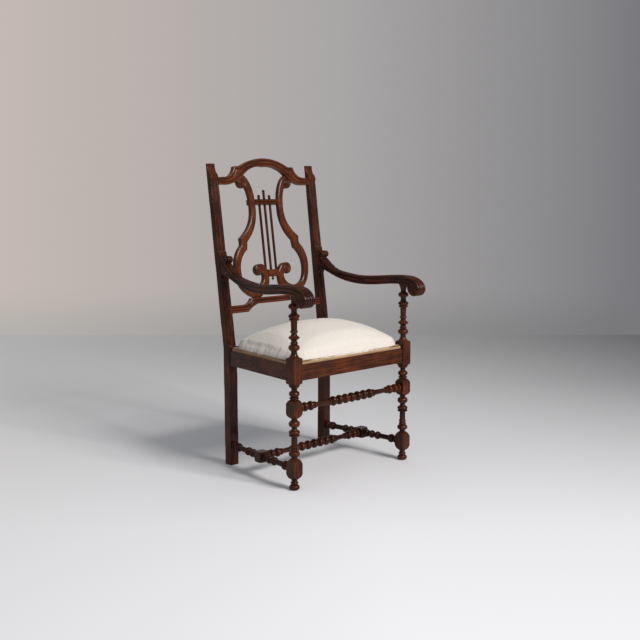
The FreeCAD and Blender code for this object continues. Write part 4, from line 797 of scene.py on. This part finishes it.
class CHAIR_OT_make_cushion(Operator):
    """Blow up the stuffing and cover it with cream cloth"""
    bl_idname = "chair.make_cushion"
    bl_label = "Seat cushion"

    def execute(self, context):
        finish = settings("cover_finish")
        make_loop_group()
        pad, bm = joined_copy("seat_stuffing", "seat_cushion")
        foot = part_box("seat_stuffing")[0].z
        for vert in bm.verts:
            if vert.co.z < foot + STUFFING_FOOT:
                vert.co.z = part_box("seat_cover")[0].z + COVER_TURN_UNDER
        bm.to_mesh(pad.data)
        bm.free()
        even_skin(pad, finish.skin)
        rest = [vert.co.copy() for vert in pad.data.vertices]
        normals = [vert.normal.copy() for vert in pad.data.vertices]
        blown = self.blow_up(context, pad, finish.pressure)
        legs = [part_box(kind + "_leg_" + side) for kind in ("front", "rear") for side in ("left", "right")]
        for vert, start, normal, end in zip(pad.data.vertices, rest, normals, blown):
            vert.co = self.fitted(start, normal, end, finish, legs, foot)
        smooth = pad.modifiers.new("Finer skin", "SUBSURF")
        smooth.levels = 1
        smooth.render_levels = 1
        apply_modifiers(pad)
        pad.data.shade_smooth()
        pad.data.materials.clear()
        pad.data.materials.append(cover_material())
        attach(pad, SEAT_BODY)
        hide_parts("seat_cover", "seat_stuffing")
        return {"FINISHED"}

    def blow_up(self, context, pad, pressure):
        """Where the points of the cover go when the stuffing presses on it."""
        cloth = pad.modifiers.new("Cover", "CLOTH")
        cloth.settings.use_pressure = True
        cloth.settings.uniform_pressure_force = pressure
        cloth.settings.effector_weights.gravity = 0.0
        for step in range(1, COVER_STEPS + 1):
            context.scene.frame_set(step)
        seen = pad.evaluated_get(context.evaluated_depsgraph_get())
        places = [vert.co.copy() for vert in seen.data.vertices]
        pad.modifiers.clear()
        context.scene.frame_set(1)
        return places

    def fitted(self, start, normal, end, finish, legs, foot):
        """Place of a point of the cover: swollen above the rails, snug in the rebate and beside the legs."""
        beside = 1.0
        for low, high in legs:
            reach_x = max(low.x - start.x, start.x - high.x, 0.0)
            reach_y = max(low.y - start.y, start.y - high.y, 0.0)
            beside = min(beside, ease(math.hypot(reach_x, reach_y), LEG_NEAR, LEG_CLEAR))
        if start.z > foot + LEG_HEIGHT:
            beside = 1.0
        above = beside if start.z > LIP_START else 0.0
        limit = SNUG + (finish.swell - SNUG) * above * (1 - ease(normal.z, 0.84, 0.97))
        place = start + normal * min(max((end - start).dot(normal), SNUG), limit)
        side = Vector((normal.x, normal.y, 0))
        if above > 0.4 and side.length > 0.1:
            fade = 1 - ease(start.z, RAIL_TOP + 0.010, RAIL_TOP + 0.050)
            place += side.normalized() * finish.overhang * above * fade
            place.z = max(place.z, OVER_RAIL)
        elif LIP_END < start.z <= LIP_START:
            place.z = LIP_LEVEL
        return place


# Stage

def floor_material():
    """Pale matt floor with painted shade towards the wall and to the right, and painted light on the left."""
    studio = settings("studio")
    material, tree, shader, place = new_material("Studio floor")
    split = add(tree, "ShaderNodeSeparateXYZ", links={0: place})
    # painted shade towards the wall and, below, to the right
    colour = mix(tree, ramp(tree, split.outputs[1], -0.7, 2.5), (*studio.floor, 1), (*studio.far_floor, 1))
    edge = ramp(tree, split.outputs[0], 0.2, 2.2)
    colour = mix(tree, maths(tree, "MULTIPLY", edge, ramp(tree, split.outputs[1], -0.6, 1.5, 0.45, 1.0)), colour,
                 (0.20, 0.20, 0.21, 1))
    # painted light on the left
    left = ramp(tree, split.outputs[0], -0.3, -2.0)
    colour = mix(tree, maths(tree, "MULTIPLY", left, 0.7), colour, (0.86, 0.84, 0.83, 1))
    tree.links.new(colour, shader.inputs["Base Color"])
    shader.inputs["Roughness"].default_value = 0.9
    shader.inputs["Specular IOR Level"].default_value = 0.1
    return material


def backdrop_material():
    """Grey wall that glows with painted light and shade: warmer and lighter on the left, darker to the right and along
    its foot, seen from the room's side only.
    """
    material = bpy.data.materials.new("Studio backdrop")
    material.use_nodes = True
    tree = material.node_tree
    tree.nodes.clear()
    output = tree.nodes.new("ShaderNodeOutputMaterial")
    place = tree.nodes.new("ShaderNodeTexCoord").outputs["Object"]
    split = add(tree, "ShaderNodeSeparateXYZ", links={0: place})
    wall = mix(tree, ramp(tree, split.outputs[0], -2.2, 0.1), (0.56, 0.49, 0.45, 1), (0.40, 0.385, 0.385, 1))
    wall = mix(tree, ramp(tree, split.outputs[0], 0.1, 2.2), wall, (0.19, 0.19, 0.205, 1))
    foot = mix(tree, ramp(tree, split.outputs[0], -2.0, 2.0), (0.46, 0.44, 0.42, 1), (0.19, 0.19, 0.20, 1))
    colour = mix(tree, span(tree, split.outputs[2], 0.0, 0.35), foot, wall)
    # the wall glows with its painted light and shade, also in glossy reflections
    glow = add(tree, "ShaderNodeEmission", links={"Color": colour})
    clear = tree.nodes.new("ShaderNodeBsdfTransparent")
    light_path = tree.nodes.new("ShaderNodeLightPath")
    back = tree.nodes.new("ShaderNodeNewGeometry").outputs["Backfacing"]
    seen = maths(tree, "MAXIMUM", light_path.outputs["Is Camera Ray"], light_path.outputs["Is Glossy Ray"])
    seen = maths(tree, "MULTIPLY", seen, maths(tree, "SUBTRACT", 1.0, back))
    blend = add(tree, "ShaderNodeMixShader", links={0: seen, 1: clear.outputs[0], 2: glow.outputs[0]})
    tree.links.new(blend.outputs[0], output.inputs["Surface"])
    return material


class CHAIR_OT_make_studio(Operator):
    """Floor, wall, lights and camera"""
    bl_idname = "chair.make_studio"
    bl_label = "Studio"

    def execute(self, context):
        studio = settings("studio")
        scene = context.scene
        far = studio.wall_distance
        self.sheet("floor", floor_material(), 0, (0, far - STAGE_HALF, 0), -studio.camera_heading)
        self.sheet("wall", backdrop_material(), 90, (0, far, STAGE_HALF), -studio.camera_heading)
        self.lamp("key", (0.5, -5.4, 4.3), 2.0, studio.key, (1.0, 0.97, 0.94))
        self.camera(scene, studio)
        world = bpy.data.worlds.new("Studio air")
        scene.world = world
        world.use_nodes = True
        world.node_tree.nodes["Background"].inputs[0].default_value = (0.95, 0.97, 1.0, 1)
        world.node_tree.nodes["Background"].inputs[1].default_value = studio.fill
        scene.view_settings.view_transform = "Standard"
        return {"FINISHED"}

    def sheet(self, name, material, lean, middle, heading):
        """Flat square of the stage, leaned by an angle in degrees and turned to face the camera."""
        bm = bmesh.new()
        bmesh.ops.create_grid(bm, x_segments=1, y_segments=1, size=STAGE_HALF)
        bmesh.ops.rotate(bm, verts=bm.verts, cent=(0, 0, 0), matrix=Matrix.Rotation(math.radians(lean), 3, "X"))
        bmesh.ops.translate(bm, verts=bm.verts, vec=middle)
        mesh = bpy.data.meshes.new(name)
        bm.to_mesh(mesh)
        bm.free()
        mesh.materials.append(material)
        thing = bpy.data.objects.new(name, mesh)
        thing.rotation_euler = (0, 0, heading)
        bpy.context.scene.collection.objects.link(thing)

    def lamp(self, name, place, size, power, colour):
        """Square soft lamp that points at the middle of the chair."""
        light = bpy.data.lights.new(name, "AREA")
        light.size = size
        light.energy = power
        light.color = colour
        lamp = bpy.data.objects.new(name, light)
        lamp.location = place
        lamp.rotation_euler = (LAMP_AIM - Vector(place)).to_track_quat("-Z", "Y").to_euler()
        bpy.context.scene.collection.objects.link(lamp)

    def camera(self, scene, studio):
        """Camera that looks down a little, as the photograph was framed."""
        camera = bpy.data.cameras.new("camera")
        camera.lens = studio.lens
        camera.sensor_width = FILM_WIDTH
        camera.shift_y = studio.shift
        eye = bpy.data.objects.new("camera", camera)
        eye.location = studio.camera_place
        aim = Matrix.Rotation(-studio.camera_heading, 3, "Z")
        aim @= Matrix.Rotation(math.radians(90) - studio.camera_tilt, 3, "X")
        aim @= Matrix.Rotation(studio.camera_roll, 3, "Z")
        eye.rotation_euler = aim.to_euler()
        scene.collection.objects.link(eye)
        scene.camera = eye


class CHAIR_PT_panel(Panel):
    """Every step of the chair, in order"""
    bl_label = "Lyre back armchair"
    bl_idname = "CHAIR_PT_panel"
    bl_space_type = "VIEW_3D"
    bl_region_type = "UI"
    bl_category = "Armchair"

    def draw(self, context):
        for step in STEPS:
            self.layout.operator(step.bl_idname)
        for name in GROUPS:
            box = self.layout.box()
            group = settings(name)
            for field in group.bl_rna.properties.keys():
                if field not in ("rna_type", "name"):
                    box.prop(group, field)


GROUPS = {"wood_finish": WoodFinish, "carving": Carving, "cover_finish": CoverFinish, "studio": StudioSettings}
STEPS = (CHAIR_OT_finish_wood, CHAIR_OT_finish_inside, CHAIR_OT_carve_stiles, CHAIR_OT_carve_rails,
         CHAIR_OT_carve_lyre, CHAIR_OT_carve_arms, CHAIR_OT_make_cushion, CHAIR_OT_make_studio)


def register():
    """Make the settings, the steps and the panel known to Blender."""
    for group in GROUPS.values():
        bpy.utils.register_class(group)
    for name, group in GROUPS.items():
        setattr(bpy.types.Scene, name, PointerProperty(type=group))
    for step in STEPS:
        bpy.utils.register_class(step)
    bpy.utils.register_class(CHAIR_PT_panel)


def unregister():
    """Take the panel, the steps and the settings out again."""
    bpy.utils.unregister_class(CHAIR_PT_panel)
    for step in reversed(STEPS):
        bpy.utils.unregister_class(step)
    for name, group in GROUPS.items():
        delattr(bpy.types.Scene, name)
        bpy.utils.unregister_class(group)


def main():
    """Build the looks step by step."""
    register()
    bpy.ops.chair.finish_wood()
    bpy.ops.chair.finish_inside()
    bpy.ops.chair.carve_stiles()
    bpy.ops.chair.carve_rails()
    bpy.ops.chair.carve_lyre()
    bpy.ops.chair.carve_arms()
    bpy.ops.chair.make_cushion()
    bpy.ops.chair.make_studio()


if __name__ == "__main__":
    main()
